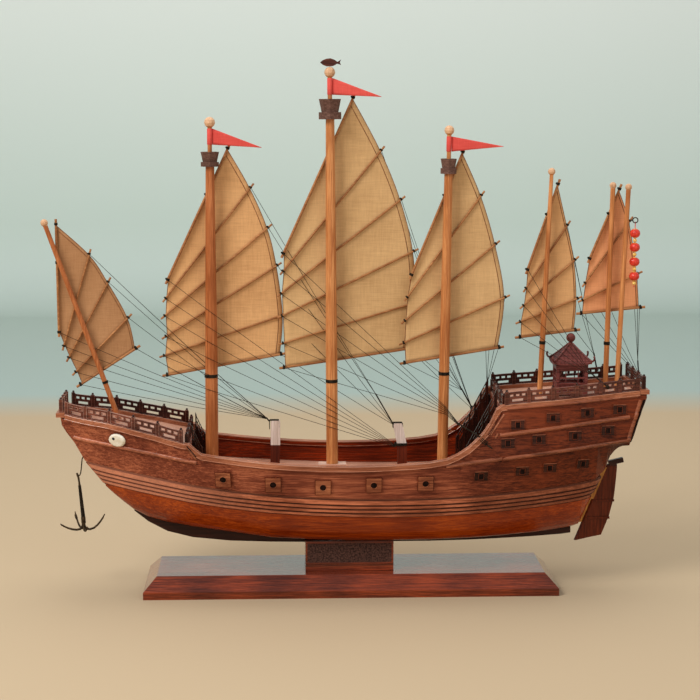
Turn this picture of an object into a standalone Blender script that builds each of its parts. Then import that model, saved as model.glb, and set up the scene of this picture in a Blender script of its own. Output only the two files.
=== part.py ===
"""Wooden desktop model of a six-masted junk on its stand.

Sizes are in millimetres and become metres when a mesh is made.
The bow points to -X, the stern to +X, starboard is +Y and up is +Z.
The origin is the centre of the stand's underside.
"""
import math

import bmesh
import bpy
from mathutils import Matrix, Vector

MM = 0.001
GLUE_GAP = 0.3          # space left between two pieces that touch

# Stand
BASE_LENGTH = 416.0
BASE_DEPTH = 106.0
BASE_HEIGHT = 21.0
BASE_EDGE = 7.5         # upright edge below the slope
BASE_SLOPE = 13.0       # how far the slope runs in
PEDESTAL_X = (-46.0, 43.0)
PEDESTAL_HALF = 27.0
PEDESTAL_TOP = 52.2     # at its outer faces; it dips to fit the bottom
PEDESTAL_NECK = 15.0
PEDESTAL_SEAT = 50.9

# Hull lines
WALE_LOW = 82.3         # underside of the wales amidships
WALE_BEND = 3.44e-4     # rise of the wales towards bow and stern
WALE_LOWEST_X = 42.6
RIB_HEIGHTS = (4.3, 4.3, 4.3, 6.2)      # of the wales, from the lowest up
RIB_OUT = 1.3
RIB_RAMP = 0.6
RIB_GROOVE = 0.4
SEAM_ABOVE_WALES = 1.0
DECK_LOW = 114.0        # the waist's deck amidships
DECK_BEND = 2.83e-4     # and its rise towards bow and stern
DECK_LOWEST_X = 40.0
WALL = 3.0              # bulwark thickness
CAP_THICK = 4.3
CAP_HALF = 4.2
CAP_OVERHANG = 1.4
FORE_BREAK_X = -160.0   # aft end of the forecastle
POOP_BREAK_X = 147.0    # front of the sterncastle
SHORT_SHOULDER = 8.0    # below this height a section has no round bilge
FACET = 0.15            # how far a deck's flat facets rise above its curve

# x, height of the hull's lower edge, half-breadth there
BOTTOM = (
    (-289, 177.5, 28.0), (-274, 151, 24.0), (-269, 139, 22.0), (-258, 124, 18.0), (-249, 111, 15.0),
    (-229, 91, 10.0), (-218, 81.5, 7.5), (-210, 76.5, 6.5), (-186, 69.5, 6.5), (-169, 66.5, 6.5),
    (-124, 61, 6.5), (-92, 56, 6.5), (-46, 53, 6.5), (0, 51.5, 6.5), (81, 51.5, 6.5), (150, 54, 6.5),
    (216, 60, 6.5),
    (232, 64, 8.0), (238, 80, 14.0), (245, 97, 20.0), (251, 112, 26.0), (257, 127, 30.0),
    (258.6, 133, 31.0), (260.5, 139, 33.5), (264.5, 145.5, 37.0), (270.5, 150.5, 42.0), (278, 152, 46.0),
    (283, 171, 48.0), (289, 189, 48.0), (293, 200, 48.0),
)
# x, height of the shoulder, half-breadth there, slope above it, exponent of the bilge's curve
SHOULDER = (
    (-291, 186, 29.0, 0.20, 0.95), (-266, 180, 37.0, 0.20, 0.85), (-241, 176, 44.0, 0.20, 0.70),
    (-193, 166, 54.0, 0.15, 0.50), (-148, 147, 63.0, 0.05, 0.37), (-85, 140, 69.0, 0.0, 0.29),
    (0, 137, 70.0, 0.0, 0.27), (85, 140, 69.0, 0.0, 0.27), (147, 146, 65.5, -0.07, 0.30),
    (204, 152, 60.5, -0.03, 0.36), (262, 158, 51.0, 0.0, 0.50), (294, 162, 48.5, 0.0, 0.50),
)
# x, height of the cap rail's top
SHEER = (
    (-291, 185.5), (-266, 180.5), (-241, 177), (-217, 171.5), (-193, 166), (-165, 159), (-160, 158.5),
    (-154, 153), (-148, 148.5), (-131, 146), (-85, 140.5), (-29, 137), (0, 136.5), (40, 137.5),
    (76, 140), (93, 143), (104, 148), (115, 155), (122, 161.5), (129, 168.5), (135, 177), (139, 185.5),
    (142, 191.5), (147, 195), (204, 200), (250, 204), (294, 208),
)
# x, underside of the keel
KEEL = (
    (-219, 80.2), (-210, 72.5), (-201, 66.5), (-189, 60), (-170, 54), (-136, 49), (-92, 47), (-46, 46),
    (44, 46), (82, 46), (150, 48), (216, 52), (226, 53.3),
)
# Sections shared by the keel and the bottom
BOTTOM_STATIONS = (-246.5, -238, -229, -219, -205, -186, -160, -122, -81, -40, 0, 40, 81, 120, 150, 185,
                   216, 226, 232, 236, 240, 243.5)
ARCH_STATIONS = (258.5, 260.5, 264.5, 268)      # more sections where the counter is arched over the rudder
KEEL_HALF = 6.0
KEEL_EASE = 1.2         # chamfer of its lower edges
STRAKE_HALF = 2.2
STRAKE_RAMP = 0.5
FORE_STRAKE = ((-276, 160.5), (-157, 140.7))    # two ends of the forecastle's rubbing strake
POOP_STRAKES = (((92, 136.3), (276, 157.3)), ((145, 166.3), (276, 181.2)))
# Sections shared by the cap rails and the sides under them
CAP_STATIONS = (-284, -276, -266, -253, -241, -229, -217, -205, -193, -180, -167, -160, -154, -148, -131,
                -108, -85, -57, -29, 0, 20, 40, 60, 76, 93, 104, 115, 122, 129, 135, 139, 142, 147, 160, 180,
                204, 225, 245, 256, 266, 271, 277, 283, 286)
BOW_CAP_X = -288.6
STERN_CAP_X = 290.8
GUNPORT_X = (-127, -78, -29, 21, 72)
GUNPORT_Z = (124, 119, 116, 118, 119)
GUNPORT_SIZE = 16.0
GUNPORT_OUT = 1.2
GUNPORT_BORE = 3.0
GUNPORT_SINK = 1.6      # depth of a port below the side's surface; it doesn't go through

# Sternpost line and rudder
POST_FOOT = (232.0, 64.0)
POST_HEAD = (257.0, 126.0)
POST_CLEAR = 0.6        # from the hull's sloping edge to the post
POST_THICK = 5.0
POST_HALF = 3.4
RUDDER_HALF = 2.0
RUDDER_GAP = 0.7
RUDDER_HINGE_Z = 90.0
# Height of the blade at its leading edge, chord, how much higher its after edge is
RUDDER_CHORDS = (
    (44.5, 28.0, 5.5), (50.0, 27.0, 3.0), (66.0, 25.6, 0.0), (70.0, 25.6, 0.0), (89.0, 22.5, 0.0),
    (93.0, 21.4, 0.0), (109.0, 16.4, 0.0), (120.5, 12.5, 0.0), (122.2, 11.8, 0.0),
)
TILLER_START = (263.7, 125.2)       # the bar at the rudder's head
TILLER_END = (280.4, 127.4)
TILLER_RADIUS = 2.6
RUDDER_BANDS = ((86.0, 20.0), (68.0, 22.8))     # height, length
RUDDER_BAND_HALF = 1.1
RUDDER_BAND_OUT = 0.8

# Masts: foot x, head x, head z, y, foot radius, head radius, ball radius
MASTS = {
    "mast_1": (-233, -304, 372, 0, 2.6, 2.3, 3.8),
    "mast_2": (-140, -139, 471, 0, 6.4, 4.3, 5.5),
    "mast_3": (-18, -20, 520, 0, 5.9, 4.3, 5.5),
    "mast_4": (94, 99, 463, 0, 5.3, 4.1, 5.0),
    "mast_5": (193, 202, 422, 0, 2.8, 1.9, 3.8),
    "mast_6": (260, 264, 408, 0, 2.7, 2.5, 3.5),
    "lantern_pole": (269, 277, 407, -14, 2.5, 2.4, 3.5),
}
TOPMAST_RADIUS = 2.2
STRAIGHT_SHARE = 0.3    # share of a mast below which it doesn't taper
NEST_SIDES = 8
NEST_SHOULDER = 3.0     # how far up in the block the mast narrows to the topmast
NEST_FLOOR = 2.0
NEST_WALL = 1.4
# Nests: underside of the block, block's top, tub's top, block radius, tub's lower and upper radius
NESTS = {
    "mast_2": (427.5, 432.0, 442.0, 9.0, 7.0, 9.2),
    "mast_3": (474.0, 481.0, 494.0, 11.2, 8.4, 11.0),
    "mast_4": (420.0, 425.5, 435.0, 8.0, 6.4, 8.1),
}
FLAG_THICK = 0.8
# Flags: hoist's lower and upper height, tip x, tip z
FLAGS = {
    "mast_2": (449, 465, -87, 446),
    "mast_3": (498, 514.5, 32, 496),
    "mast_4": (442, 457, 154, 447),
}

# Sails: peak and throat of the yard, then each batten's luff and leech end, the last one the boom
SAILS = {
    "mast_1": ((-293, 369, -292, 264), ((-287, 250, -261, 339), (-282, 238, -243, 311),
               (-275, 223, -224, 275), (-270, 210, -217, 244))),
    "mast_2": ((-122, 444, -182, 316), ((-184, 297, -100, 405), (-185, 279, -83, 365),
               (-184, 258, -74, 327), (-186, 238, -68, 277), (-183, 218, -71, 237))),
    "mast_3": ((3, 494, -66, 342), ((-66, 324, 31, 442), (-68, 301, 51, 393), (-67, 278, 64, 341),
               (-66, 250, 66, 289), (-65, 225, 59, 242))),
    "mast_4": ((113, 440, 63, 320), ((59, 297, 132, 397), (57, 273, 147, 348),
               (56, 250, 157, 294), (57, 229, 151, 243))),
    "mast_5": ((209, 408, 180, 325), ((179, 306, 219, 367), (177, 288, 227, 332),
               (174, 271, 230, 293), (174, 255, 228, 261))),
    "mast_6": ((271, 403, 243, 336), ((239, 311, 282, 371), (237, 293, 291, 318),
               (236, 279, 294, 284))),
}
SPAR_RADIUS = 1.3
SPAR_SPARE = 4.5        # a batten's end past the cloth
CLOTH_THICK = 1.0
CLOTH_SET_BACK = 0.9    # from the spars' axis to the cloth's middle
SAIL_TURN = 0.07        # how far a sail's after edge is braced to starboard, for each mm aft

# Railings
RAIL_HALF = 0.8
RAIL_HIGH = 11.8
RAIL_POST_HALF = 1.6
RAIL_POST_OVER = 1.0    # how far a post stands above its panel
RAIL_INSET = 0.5        # from the cap rail's middle line
END_RAIL_LIFT = 0.4     # height of the bow's and the stern's cap above the side caps
# Slots in each panel: start and end along it, lower and upper edge, as shares of its length and height
RAIL_SLOTS = (
    (0.24, 0.76, 0.16, 0.40), (0.14, 0.32, 0.58, 0.80), (0.41, 0.59, 0.58, 0.80), (0.68, 0.86, 0.58, 0.80),
)
STAIR_SLOTS = tuple(
    (start, start + 0.12, low, low + 0.17) for low in (0.5, 0.74) for start in (0.09, 0.27, 0.45, 0.63, 0.81)
)
STAIR_PANEL_HIGH = 20.0     # upright, from the foot of the steps
STAIR_SIDES = (36.0, 50.0)
STAIR_PAST = 2.0        # where the deck's height is read, past the top step
# Flights: x of their foot, x of their top, number of steps
STAIR_FLIGHTS = {"stair_fore": (-146.0, -159.0, 5), "stair_poop": (108.0, 146.3, 9)}
FORE_POSTS_X = (-282, -263, -239, -215, -191, -168)
POOP_POSTS_X = (152, 174, 198, 222, 246, 266, 284)
FORE_BREAK_RAIL_X = -163.0
POOP_FRONT_RAIL_X = 150.5

# Belaying posts, from the foot up: x, height (or nothing at the foot), half width
BELAYING_POSTS = (
    ((-76.5, None, 4.8), (-75.7, 147.0, 4.8), (-75.5, 169.0, 4.8), (-75.5, 171.5, 4.0)),
    ((53.3, None, 4.8), (53.0, 145.0, 4.8), (48.8, 165.5, 4.8), (48.6, 168.0, 4.0)),
)
POST_DEPTH_HALF = 3.5
STEP_HALF = (14.0, 8.0)     # the mainmast's step
STEP_HIGH = 11.0
STEP_PLAY = 0.5

# Fish on the mainmast, in its own x and height: nose, back, tail, belly
FISH_OUTLINE = (
    (-9.6, 0.4), (-7.0, 2.6), (-3.5, 4.0), (0.5, 4.5), (4.5, 3.2), (7.6, 1.0), (11.2, 3.3), (10.0, 0.4),
    (11.2, -2.0), (7.4, -0.8), (4.0, -2.8), (1.5, -3.4), (-3.0, -3.4), (-7.0, -1.8),
)
FISH_HALF = 1.2

# Pavilion on the poop
PAVILION = (227.0, -6.0)
PAVILION_HALF = (17.0, 15.0)
PAVILION_HIGH = 26.0
PAVILION_WALL = 2.0
PAVILION_WINDOW = (11.0, 9.0)       # half width of the openings in its long and short sides
PAVILION_SILL = 12.0
PAVILION_LINTEL = 21.0
ROOF_NARROW = 0.92      # the roof's depth for its width
# Roof, above its underside: height, half width, extra height at the corners
ROOF_LEVELS = (
    (0.0, 18.0, 0.0), (1.5, 22.0, 3.0), (3.5, 22.0, 3.0), (8.0, 12.5, 1.0), (14.0, 6.0, 0.3),
    (21.0, 1.8, 0.0), (22.5, 1.6, 0.0),
)
# Ball on the roof: height, radius
ROOF_BALL = ((23.3, 2.6), (25.6, 3.8), (28.0, 3.4), (29.4, 1.4))

# Eyes on the bow: x, z, half width and half height; then how far out and how wide each ring is
EYE_PLACE = (-231.0, 161.0)
EYE_HALF = (8.6, 7.0)
EYE_RINGS = ((0.0, 1.0), (1.0, 1.0), (2.1, 0.8), (2.6, 0.35))

# Anchor and lanterns
ANCHOR_PIVOT = (-269.4, 0.0, 137.0)
ANCHOR_BEAD = 1.6
# Wire and shank, from the pivot: x, height, radius
ANCHOR_SHANK = (
    (-0.3, -1.9, 0.6), (-2.6, -9.0, 0.6), (-2.8, -16.0, 0.6), (-5.4, -19.5, 0.8), (-5.7, -21.5, 1.7),
    (-5.2, -30.0, 1.6), (-4.0, -70.0, 1.6), (-3.8, -74.0, 2.1), (-3.6, -78.5, 2.0),
)
ANCHOR_CROWN = (-3.7, -76.5)
# Arms: which way (degrees), reach, height of the tip above the crown
ANCHOR_ARMS = ((186, 22.3, 9.0), (115, 21.0, 15.0), (8, 23.0, 15.5), (-72, 20.0, 7.0))
# Along an arm, as shares of its reach and height: reach, height, half thickness, way its broad side faces
ARM_SECTIONS = (
    (0.0, 0.0, 1.2, (0.0, 1.0)), (0.43, -0.06, 1.2, (0.0, 1.0)), (0.76, 0.28, 1.2, (-0.6, 0.8)),
    (1.0, 1.0, 0.6, (-1.0, 0.1)),
)
LANTERN_PIVOT = (284.5, -14.0, 372.5)
LANTERN_Z = (361, 347, 332.5, 318)
BEAD_Z = (354, 339.8, 325.2, 311)
LANTERN_RADIUS = 5.2
LANTERN_HIGH = 4.5
BEAD_RADIUS = 2.0
STRING_RADIUS = 0.6
STRING_TOP = 2.2        # below the pivot, clear of the hook's ball
STRING_TAIL = 2.0       # below the lowest bead
HOOK_RADIUS = 0.6
HOOK_BALL = 1.8

for old in list(bpy.data.objects):
    bpy.data.objects.remove(old, do_unlink=True)

PARTS = bpy.data.collections.new("junk_model")
CUTTERS = bpy.data.collections.new("cutters")
bpy.context.scene.collection.children.link(PARTS)
bpy.context.scene.collection.children.link(CUTTERS)

# Name: colour, roughness, metallic
FINISHES = {
    "stand": ((0.25, 0.07, 0.03), 0.25, 0.0),
    "hull_polished": ((0.45, 0.13, 0.04), 0.3, 0.0),
    "hull_brown": ((0.30, 0.09, 0.04), 0.4, 0.0),
    "keel_dark": ((0.07, 0.02, 0.015), 0.4, 0.0),
    "cap_light": ((0.48, 0.19, 0.10), 0.4, 0.0),
    "spar_wood": ((0.55, 0.24, 0.09), 0.45, 0.0),
    "dark_wood": ((0.08, 0.025, 0.02), 0.45, 0.0),
    "nest_grey": ((0.10, 0.06, 0.05), 0.7, 0.0),
    "sailcloth": ((0.50, 0.34, 0.15), 0.9, 0.0),
    "flag_red": ((0.75, 0.03, 0.03), 0.8, 0.0),
    "lantern_red": ((0.70, 0.04, 0.02), 0.4, 0.0),
    "bronze": ((0.06, 0.05, 0.04), 0.5, 0.8),
    "ivory": ((0.85, 0.80, 0.65), 0.35, 0.0),
}


def finish(obj, name):
    """Gives an object its own material in one of the named finishes."""
    colour, roughness, metallic = FINISHES[name]
    material = bpy.data.materials.new(obj.name + "_" + name)
    material.use_nodes = True
    shader = material.node_tree.nodes["Principled BSDF"]
    shader.inputs["Base Color"].default_value = (*colour, 1.0)
    shader.inputs["Roughness"].default_value = roughness
    shader.inputs["Metallic"].default_value = metallic
    obj.data.materials.clear()
    obj.data.materials.append(material)


def through(table, column):
    """A smooth function of x through one column of a table, with no overshoot."""
    xs = [row[0] for row in table]
    values = [row[column] for row in table]
    spans = [b - a for a, b in zip(xs, xs[1:])]
    slopes = [(b - a) / span for a, b, span in zip(values, values[1:], spans)]
    tangents = [slopes[0]]
    for before, after in zip(slopes, slopes[1:]):
        same_way = before * after > 0
        tangents.append(2 * before * after / (before + after) if same_way else 0.0)
    tangents.append(slopes[-1])

    def value(x):
        x = min(max(x, xs[0]), xs[-1])
        i = max(k for k in range(len(spans)) if x >= xs[k])
        t = (x - xs[i]) / spans[i]
        rise = values[i + 1] - values[i]
        start = tangents[i] * spans[i]
        end = tangents[i + 1] * spans[i]
        return values[i] + start * t + (3 * rise - 2 * start - end) * t**2 + (start + end - 2 * rise) * t**3

    return value


bottom_z = through(BOTTOM, 1)
bottom_half = through(BOTTOM, 2)
shoulder_z = through(SHOULDER, 1)
shoulder_half = through(SHOULDER, 2)
shoulder_slope = through(SHOULDER, 3)
bilge_power = through(SHOULDER, 4)
sheer_z = through(SHEER, 1)
keel_low = through(KEEL, 1)


def half_breadth(x, z):
    """Half the hull's breadth at a height."""
    low, shoulder = bottom_z(x), shoulder_z(x)
    if z >= shoulder or shoulder - low < SHORT_SHOULDER:
        return shoulder_half(x) + shoulder_slope(x) * (z - shoulder)
    rise = max(z - low, 0.0) / (shoulder - low)
    return bottom_half(x) + (shoulder_half(x) - bottom_half(x)) * rise ** bilge_power(x)


def wale_z(x):
    """Underside of the wales."""
    return WALE_LOW + WALE_BEND * (x - WALE_LOWEST_X) ** 2


def seam_z(x):
    """Top of the hull's middle band, where the castles and bulwarks start."""
    return wale_z(x) + sum(RIB_HEIGHTS) + SEAM_ABOVE_WALES


def deck_z(x):
    """Main deck."""
    return DECK_LOW + DECK_BEND * (x - DECK_LOWEST_X) ** 2


def cap_depth(x):
    """Upright thickness of the cap rail, which grows where the rail is steep."""
    slope = (sheer_z(x + 1) - sheer_z(x - 1)) / 2
    return CAP_THICK * math.sqrt(1 + slope * slope)


def under_cap(x):
    """Top of the sides, just under the cap rail."""
    return sheer_z(x) - cap_depth(x) - GLUE_GAP


def seat(x, reach):
    """Height at which a piece of a given reach stands clear on the deck under it."""
    deck = deck_z if FORE_BREAK_X < x < POOP_BREAK_X else under_cap
    return max(deck(x - reach), deck(x + reach)) + FACET + GLUE_GAP


def on_line(line, x):
    (x0, z0), (x1, z1) = line
    return z0 + (z1 - z0) * (x - x0) / (x1 - x0)


def side_frame(x, z, side):
    """A matrix at the hull's side: x along the hull, y outwards, z up."""
    step = 2.0
    here = Vector((x, half_breadth(x, z), z))
    along = Vector((x + step, half_breadth(x + step, z), z)) - here
    up = Vector((x, half_breadth(x, z + step), z + step)) - here
    out = up.cross(along).normalized()
    if out.y < 0:
        out.negate()
    up.normalize()
    along = out.cross(up)
    frame = Matrix((along, out, up)).transposed().to_4x4()
    frame.translation = here
    if side < 0:
        flip = Matrix.Scale(-1, 4, Vector((0, 1, 0)))
        turned = flip @ frame @ Matrix.Scale(-1, 4, Vector((1, 0, 0)))
        return turned
    return frame


def add_object(name, mesh, collection=PARTS, origin=(0, 0, 0)):
    obj = bpy.data.objects.new(name, mesh)
    collection.objects.link(obj)
    obj.location = Vector(origin) * MM
    return obj


def mesh_from(name, points, faces, origin=(0, 0, 0)):
    """A closed mesh with its faces turned outwards, from points in millimetres."""
    mesh = bpy.data.meshes.new(name)
    bm = bmesh.new()
    shift = Vector(origin)
    verts = [bm.verts.new((Vector(p) - shift) * MM) for p in points]
    for face in faces:
        bm.faces.new([verts[i] for i in face])
    bmesh.ops.recalc_face_normals(bm, faces=bm.faces)
    bm.to_mesh(mesh)
    bm.free()
    return mesh


def loft(name, rings, look, collection=PARTS, origin=(0, 0, 0)):
    """A solid through rings of points; ends are closed by a ladder of faces across each ring."""
    count = len(rings[0])
    points = [p for ring in rings for p in ring]
    faces = []
    for r in range(len(rings) - 1):
        for i in range(count):
            a, b = r * count + i, r * count + (i + 1) % count
            faces.append((a, b, b + count, a + count))
    for start in (0, (len(rings) - 1) * count):
        for i in range(count // 2 - 1):
            j = count - 1 - i
            faces.append(tuple(start + k for k in (i, i + 1, j - 1, j)))
    obj = add_object(name, mesh_from(name, points, faces, origin), collection, origin)
    if look:
        finish(obj, look)
    return obj


def prism(name, outline, place, ends, look, collection=PARTS):
    """An outline carried straight between two ends; place turns (a, b, end) into a point."""
    n = len(outline)
    points = [place(a, b, end) for end in ends for a, b in outline]
    faces = [tuple(range(n)), tuple(range(2 * n - 1, n - 1, -1))]
    faces += [(i, (i + 1) % n, (i + 1) % n + n, i + n) for i in range(n)]
    obj = add_object(name, mesh_from(name, points, faces), collection)
    finish(obj, look)
    return obj


def along_y(x, z, y):
    return (x, y, z)


def box(name, low, high, look=None, collection=PARTS):
    """A box between two corners."""
    mesh = bpy.data.meshes.new(name)
    bm = bmesh.new()
    bmesh.ops.create_cube(bm, size=1.0)
    size = Vector(high) - Vector(low)
    bmesh.ops.scale(bm, vec=size * MM, verts=bm.verts)
    bm.to_mesh(mesh)
    bm.free()
    obj = add_object(name, mesh, collection, (Vector(low) + Vector(high)) / 2)
    if look:
        finish(obj, look)
    return obj


def turned(name, profile, look=None, foot=(0, 0, 0), axis=(0, 0, 1), steps=14, collection=PARTS):
    """A turned piece: (radius, height) points from the top down, on a raked axis."""
    mesh = bpy.data.meshes.new(name)
    verts = [(radius * MM, 0, height * MM) for radius, height in profile]
    closed = profile[0][0] > 0
    edges = [(i, i + 1) for i in range(len(verts) - 1)]
    if closed:
        edges.append((len(verts) - 1, 0))
    mesh.from_pydata(verts, edges, [])
    obj = add_object(name, mesh, collection, foot)
    obj.rotation_mode = "QUATERNION"
    obj.rotation_quaternion = Vector(axis).to_track_quat("Z", "Y")
    screw = obj.modifiers.new("turning", "SCREW")
    screw.steps = steps
    screw.render_steps = steps
    screw.use_merge_vertices = True
    screw.merge_threshold = 0.00005
    if look:
        finish(obj, look)
    return obj


def ball(radius, centre, count=6, start=0.0, end=math.pi):
    """Profile points of a ball from the top down."""
    points = []
    for i in range(count + 1):
        angle = start + (end - start) * i / count
        across = radius * math.sin(angle)
        points.append((0.0 if across < 1e-6 else across, centre + radius * math.cos(angle)))
    return points


def as_cutter(obj):
    obj.hide_render = True
    obj.display_type = "WIRE"
    return obj


def boolean(obj, other, operation):
    step = obj.modifiers.new(operation.lower(), "BOOLEAN")
    step.operation = operation
    step.object = as_cutter(other)
    step.solver = "EXACT"


def rod(bm, start, end, radius, sides=8):
    """Adds a round rod between two points to a bmesh."""
    start, end = Vector(start) * MM, Vector(end) * MM
    axis = end - start
    turn = axis.to_track_quat("Z", "Y").to_matrix().to_4x4()
    place = Matrix.Translation((start + end) / 2) @ turn
    bmesh.ops.create_cone(
        bm, cap_ends=True, segments=sides, radius1=radius * MM, radius2=radius * MM,
        depth=axis.length, matrix=place,
    )


def mesh_object(name, bm, collection=CUTTERS):
    mesh = bpy.data.meshes.new(name)
    bmesh.ops.recalc_face_normals(bm, faces=bm.faces)
    bm.to_mesh(mesh)
    bm.free()
    return add_object(name, mesh, collection)


def stand():
    half = BASE_LENGTH / 2, BASE_DEPTH / 2
    levels = ((0.0, 0.0), (0.0, BASE_EDGE), (BASE_SLOPE, BASE_HEIGHT))
    rings = []
    for inset, z in levels:
        x, y = half[0] - inset, half[1] - inset
        rings.append([(-x, -y, z), (x, -y, z), (x, y, z), (-x, y, z)])
    loft("stand_base", rings, "stand")

    notch = KEEL_HALF + GLUE_GAP
    half_outline = [
        (PEDESTAL_HALF, BASE_HEIGHT + GLUE_GAP), (PEDESTAL_HALF, PEDESTAL_TOP),
        (PEDESTAL_NECK, PEDESTAL_SEAT), (notch, PEDESTAL_SEAT), (notch, keel_low(0) - GLUE_GAP),
    ]
    outline = half_outline + [(-y, z) for y, z in reversed(half_outline)]
    prism("stand_pedestal", outline, lambda y, z, x: (x, y, z), PEDESTAL_X, "stand")


def keel():
    rings = []
    for x in [x for x in BOTTOM_STATIONS if KEEL[0][0] <= x <= KEEL[-1][0]]:
        low = keel_low(x)
        top = bottom_z(x) - GLUE_GAP
        foot = KEEL_HALF - KEEL_EASE
        side = [(KEEL_HALF, top), (KEEL_HALF, low + KEEL_EASE), (foot, low)]
        half = [(x, y, z) for y, z in side]
        rings.append([(x, 0, top)] + half + [(x, 0, low)] + [(x, -y, z) for x, y, z in reversed(half)])
    loft("keel", rings, "keel_dark")


def hull_ring(x, levels):
    """A section's ring: up the starboard side and down the port side."""
    side = [(half_breadth(x, z) + out, z) for z, out in levels]
    return [(x, y, z) for y, z in side] + [(x, -y, z) for y, z in reversed(side)]


def climbing(levels, floor):
    """Keeps levels above a floor and in order."""
    result = []
    for i, (z, out) in enumerate(levels):
        least = floor + 0.12 * i
        result.append((max(z, least), out if z > least else min(out, 0.2)))
    return result


def hull_bottom():
    shares = (0.0, 0.03, 0.1, 0.22, 0.4, 0.62, 0.82, 1.0)
    rings = []
    for x in BOTTOM_STATIONS:
        low, high = bottom_z(x), wale_z(x)
        rings.append(hull_ring(x, [(low + (high - low) * share, 0.0) for share in shares]))
    loft("hull_bottom", rings, "hull_polished")


def hull_middle():
    stations = (-265, -261, -256, -249, -240, -229, -210, -186, -160, -122, -81, -40, 0, 40, 81, 120, 150,
                185, 216, 232, 240, 246, 252)
    rings = []
    for x in stations:
        low = wale_z(x) + GLUE_GAP
        levels = []
        for rib in RIB_HEIGHTS:
            high = low + rib - RIB_GROOVE
            levels += [(low, 0.0), (low + RIB_RAMP, RIB_OUT), (high - RIB_RAMP, RIB_OUT), (high, 0.0)]
            low += rib
        levels.append((seam_z(x), 0.0))
        rings.append(hull_ring(x, climbing(levels, bottom_z(x))))
    loft("hull_middle", rings, "hull_brown")


def strake_levels(x, low, strakes, high):
    """Levels of a side from low to high, each strake standing out of it."""
    levels = [(low, 0.0)]
    for line in strakes:
        z = on_line(line, x)
        foot = STRAKE_HALF + STRAKE_RAMP
        for step, out in ((-foot, 0.0), (-STRAKE_HALF, RIB_OUT), (STRAKE_HALF, RIB_OUT), (foot, 0.0)):
            levels.append((z + step, out))
    levels.append((high, 0.0))
    return levels


def castles():
    rings = []
    for x in [-288] + [x for x in CAP_STATIONS if x <= FORE_BREAK_X]:
        low = max(seam_z(x) + FACET + GLUE_GAP, bottom_z(x))
        levels = strake_levels(x, low, (FORE_STRAKE,), under_cap(x))
        rings.append(hull_ring(x, climbing(levels, low)))
    loft("forecastle", rings, "hull_brown")

    rings = []
    stations = [x for x in CAP_STATIONS + ARCH_STATIONS if x > POOP_BREAK_X]
    for x in [POOP_BREAK_X + GLUE_GAP] + sorted(stations) + [289, 293]:
        low = max(seam_z(x) + FACET + GLUE_GAP, bottom_z(x))
        levels = strake_levels(x, low, POOP_STRAKES, under_cap(x))
        rings.append(hull_ring(x, climbing(levels, low)))
    loft("sterncastle", rings, "hull_brown")


def bulwarks():
    """Sides of the waist, with square gunport plates and a blind round port in each."""
    stations = [FORE_BREAK_X + GLUE_GAP] + [x for x in CAP_STATIONS if FORE_BREAK_X < x < POOP_BREAK_X]
    stations.append(POOP_BREAK_X - GLUE_GAP)
    for name, side in (("bulwark_port", -1), ("bulwark_starboard", 1)):
        rings = []
        for x in stations:
            low, high = seam_z(x) + FACET + GLUE_GAP, under_cap(x)
            heights = [low + (high - low) * share for share in (0.0, 0.5, 1.0)]
            outer = [(x, side * half_breadth(x, z), z) for z in heights]
            inner = [(x, side * (half_breadth(x, z) - WALL), z) for z in reversed(heights)]
            rings.append(outer + inner)
        wall = loft(name, rings, "hull_brown")

        plates, bores = bmesh.new(), bmesh.new()
        for x, z in zip(GUNPORT_X, GUNPORT_Z):
            frame = side_frame(x, z, side)
            frame.translation *= MM
            size = Matrix.Diagonal((GUNPORT_SIZE * MM, 2 * GUNPORT_OUT * MM, GUNPORT_SIZE * MM, 1))
            bmesh.ops.create_cube(plates, size=1.0, matrix=frame @ size)
            across = Matrix.Rotation(math.pi / 2, 4, "X")
            reach = GUNPORT_SINK + 2 * GUNPORT_OUT
            sunk = Matrix.Translation((0, (reach / 2 - GUNPORT_SINK) * MM, 0))
            bmesh.ops.create_cone(
                bores, cap_ends=True, segments=12, radius1=GUNPORT_BORE * MM, radius2=GUNPORT_BORE * MM,
                depth=reach * MM, matrix=frame @ sunk @ across,
            )
        boolean(wall, mesh_object(name + "_plates", plates), "UNION")
        boolean(wall, mesh_object(name + "_bores", bores), "DIFFERENCE")


def main_deck():
    """The waist's deck, a slab between the bulwarks."""
    rings = []
    for x in [FORE_BREAK_X + 2 * GLUE_GAP] + [x for x in CAP_STATIONS if FORE_BREAK_X < x < POOP_BREAK_X]:
        low, high = seam_z(x) + FACET + GLUE_GAP, deck_z(x)
        levels = [(low, -WALL - GLUE_GAP - FACET), (high, -WALL - GLUE_GAP - FACET)]
        rings.append(hull_ring(x, levels))
    loft("main_deck", rings, "cap_light")


def strip(name, line, look, across, half):
    """A flat strip under a line of (top point, upright thickness)."""
    across = Vector(across) * half
    rings = []
    for point, thick in line:
        top = Vector(point)
        low = top - Vector((0, 0, thick))
        rings.append([top - across, top + across, low + across, low - across])
    return loft(name, rings, look)


def cap_half(x):
    """Middle line of the cap rail, off the centre plane."""
    return half_breadth(x, sheer_z(x)) + CAP_OVERHANG - CAP_HALF


def cap_point(x, side, inset=0.0):
    """A point on the cap rail's faceted top."""
    after = next(i for i, station in enumerate(CAP_STATIONS) if station >= x)
    x1 = CAP_STATIONS[after]
    x0 = CAP_STATIONS[after - 1] if after else x1 - 1.0
    share = (x - x0) / (x1 - x0)
    z = sheer_z(x0) + (sheer_z(x1) - sheer_z(x0)) * share
    y = cap_half(x0) + (cap_half(x1) - cap_half(x0)) * share
    return (x, side * (y - inset), z)


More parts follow.
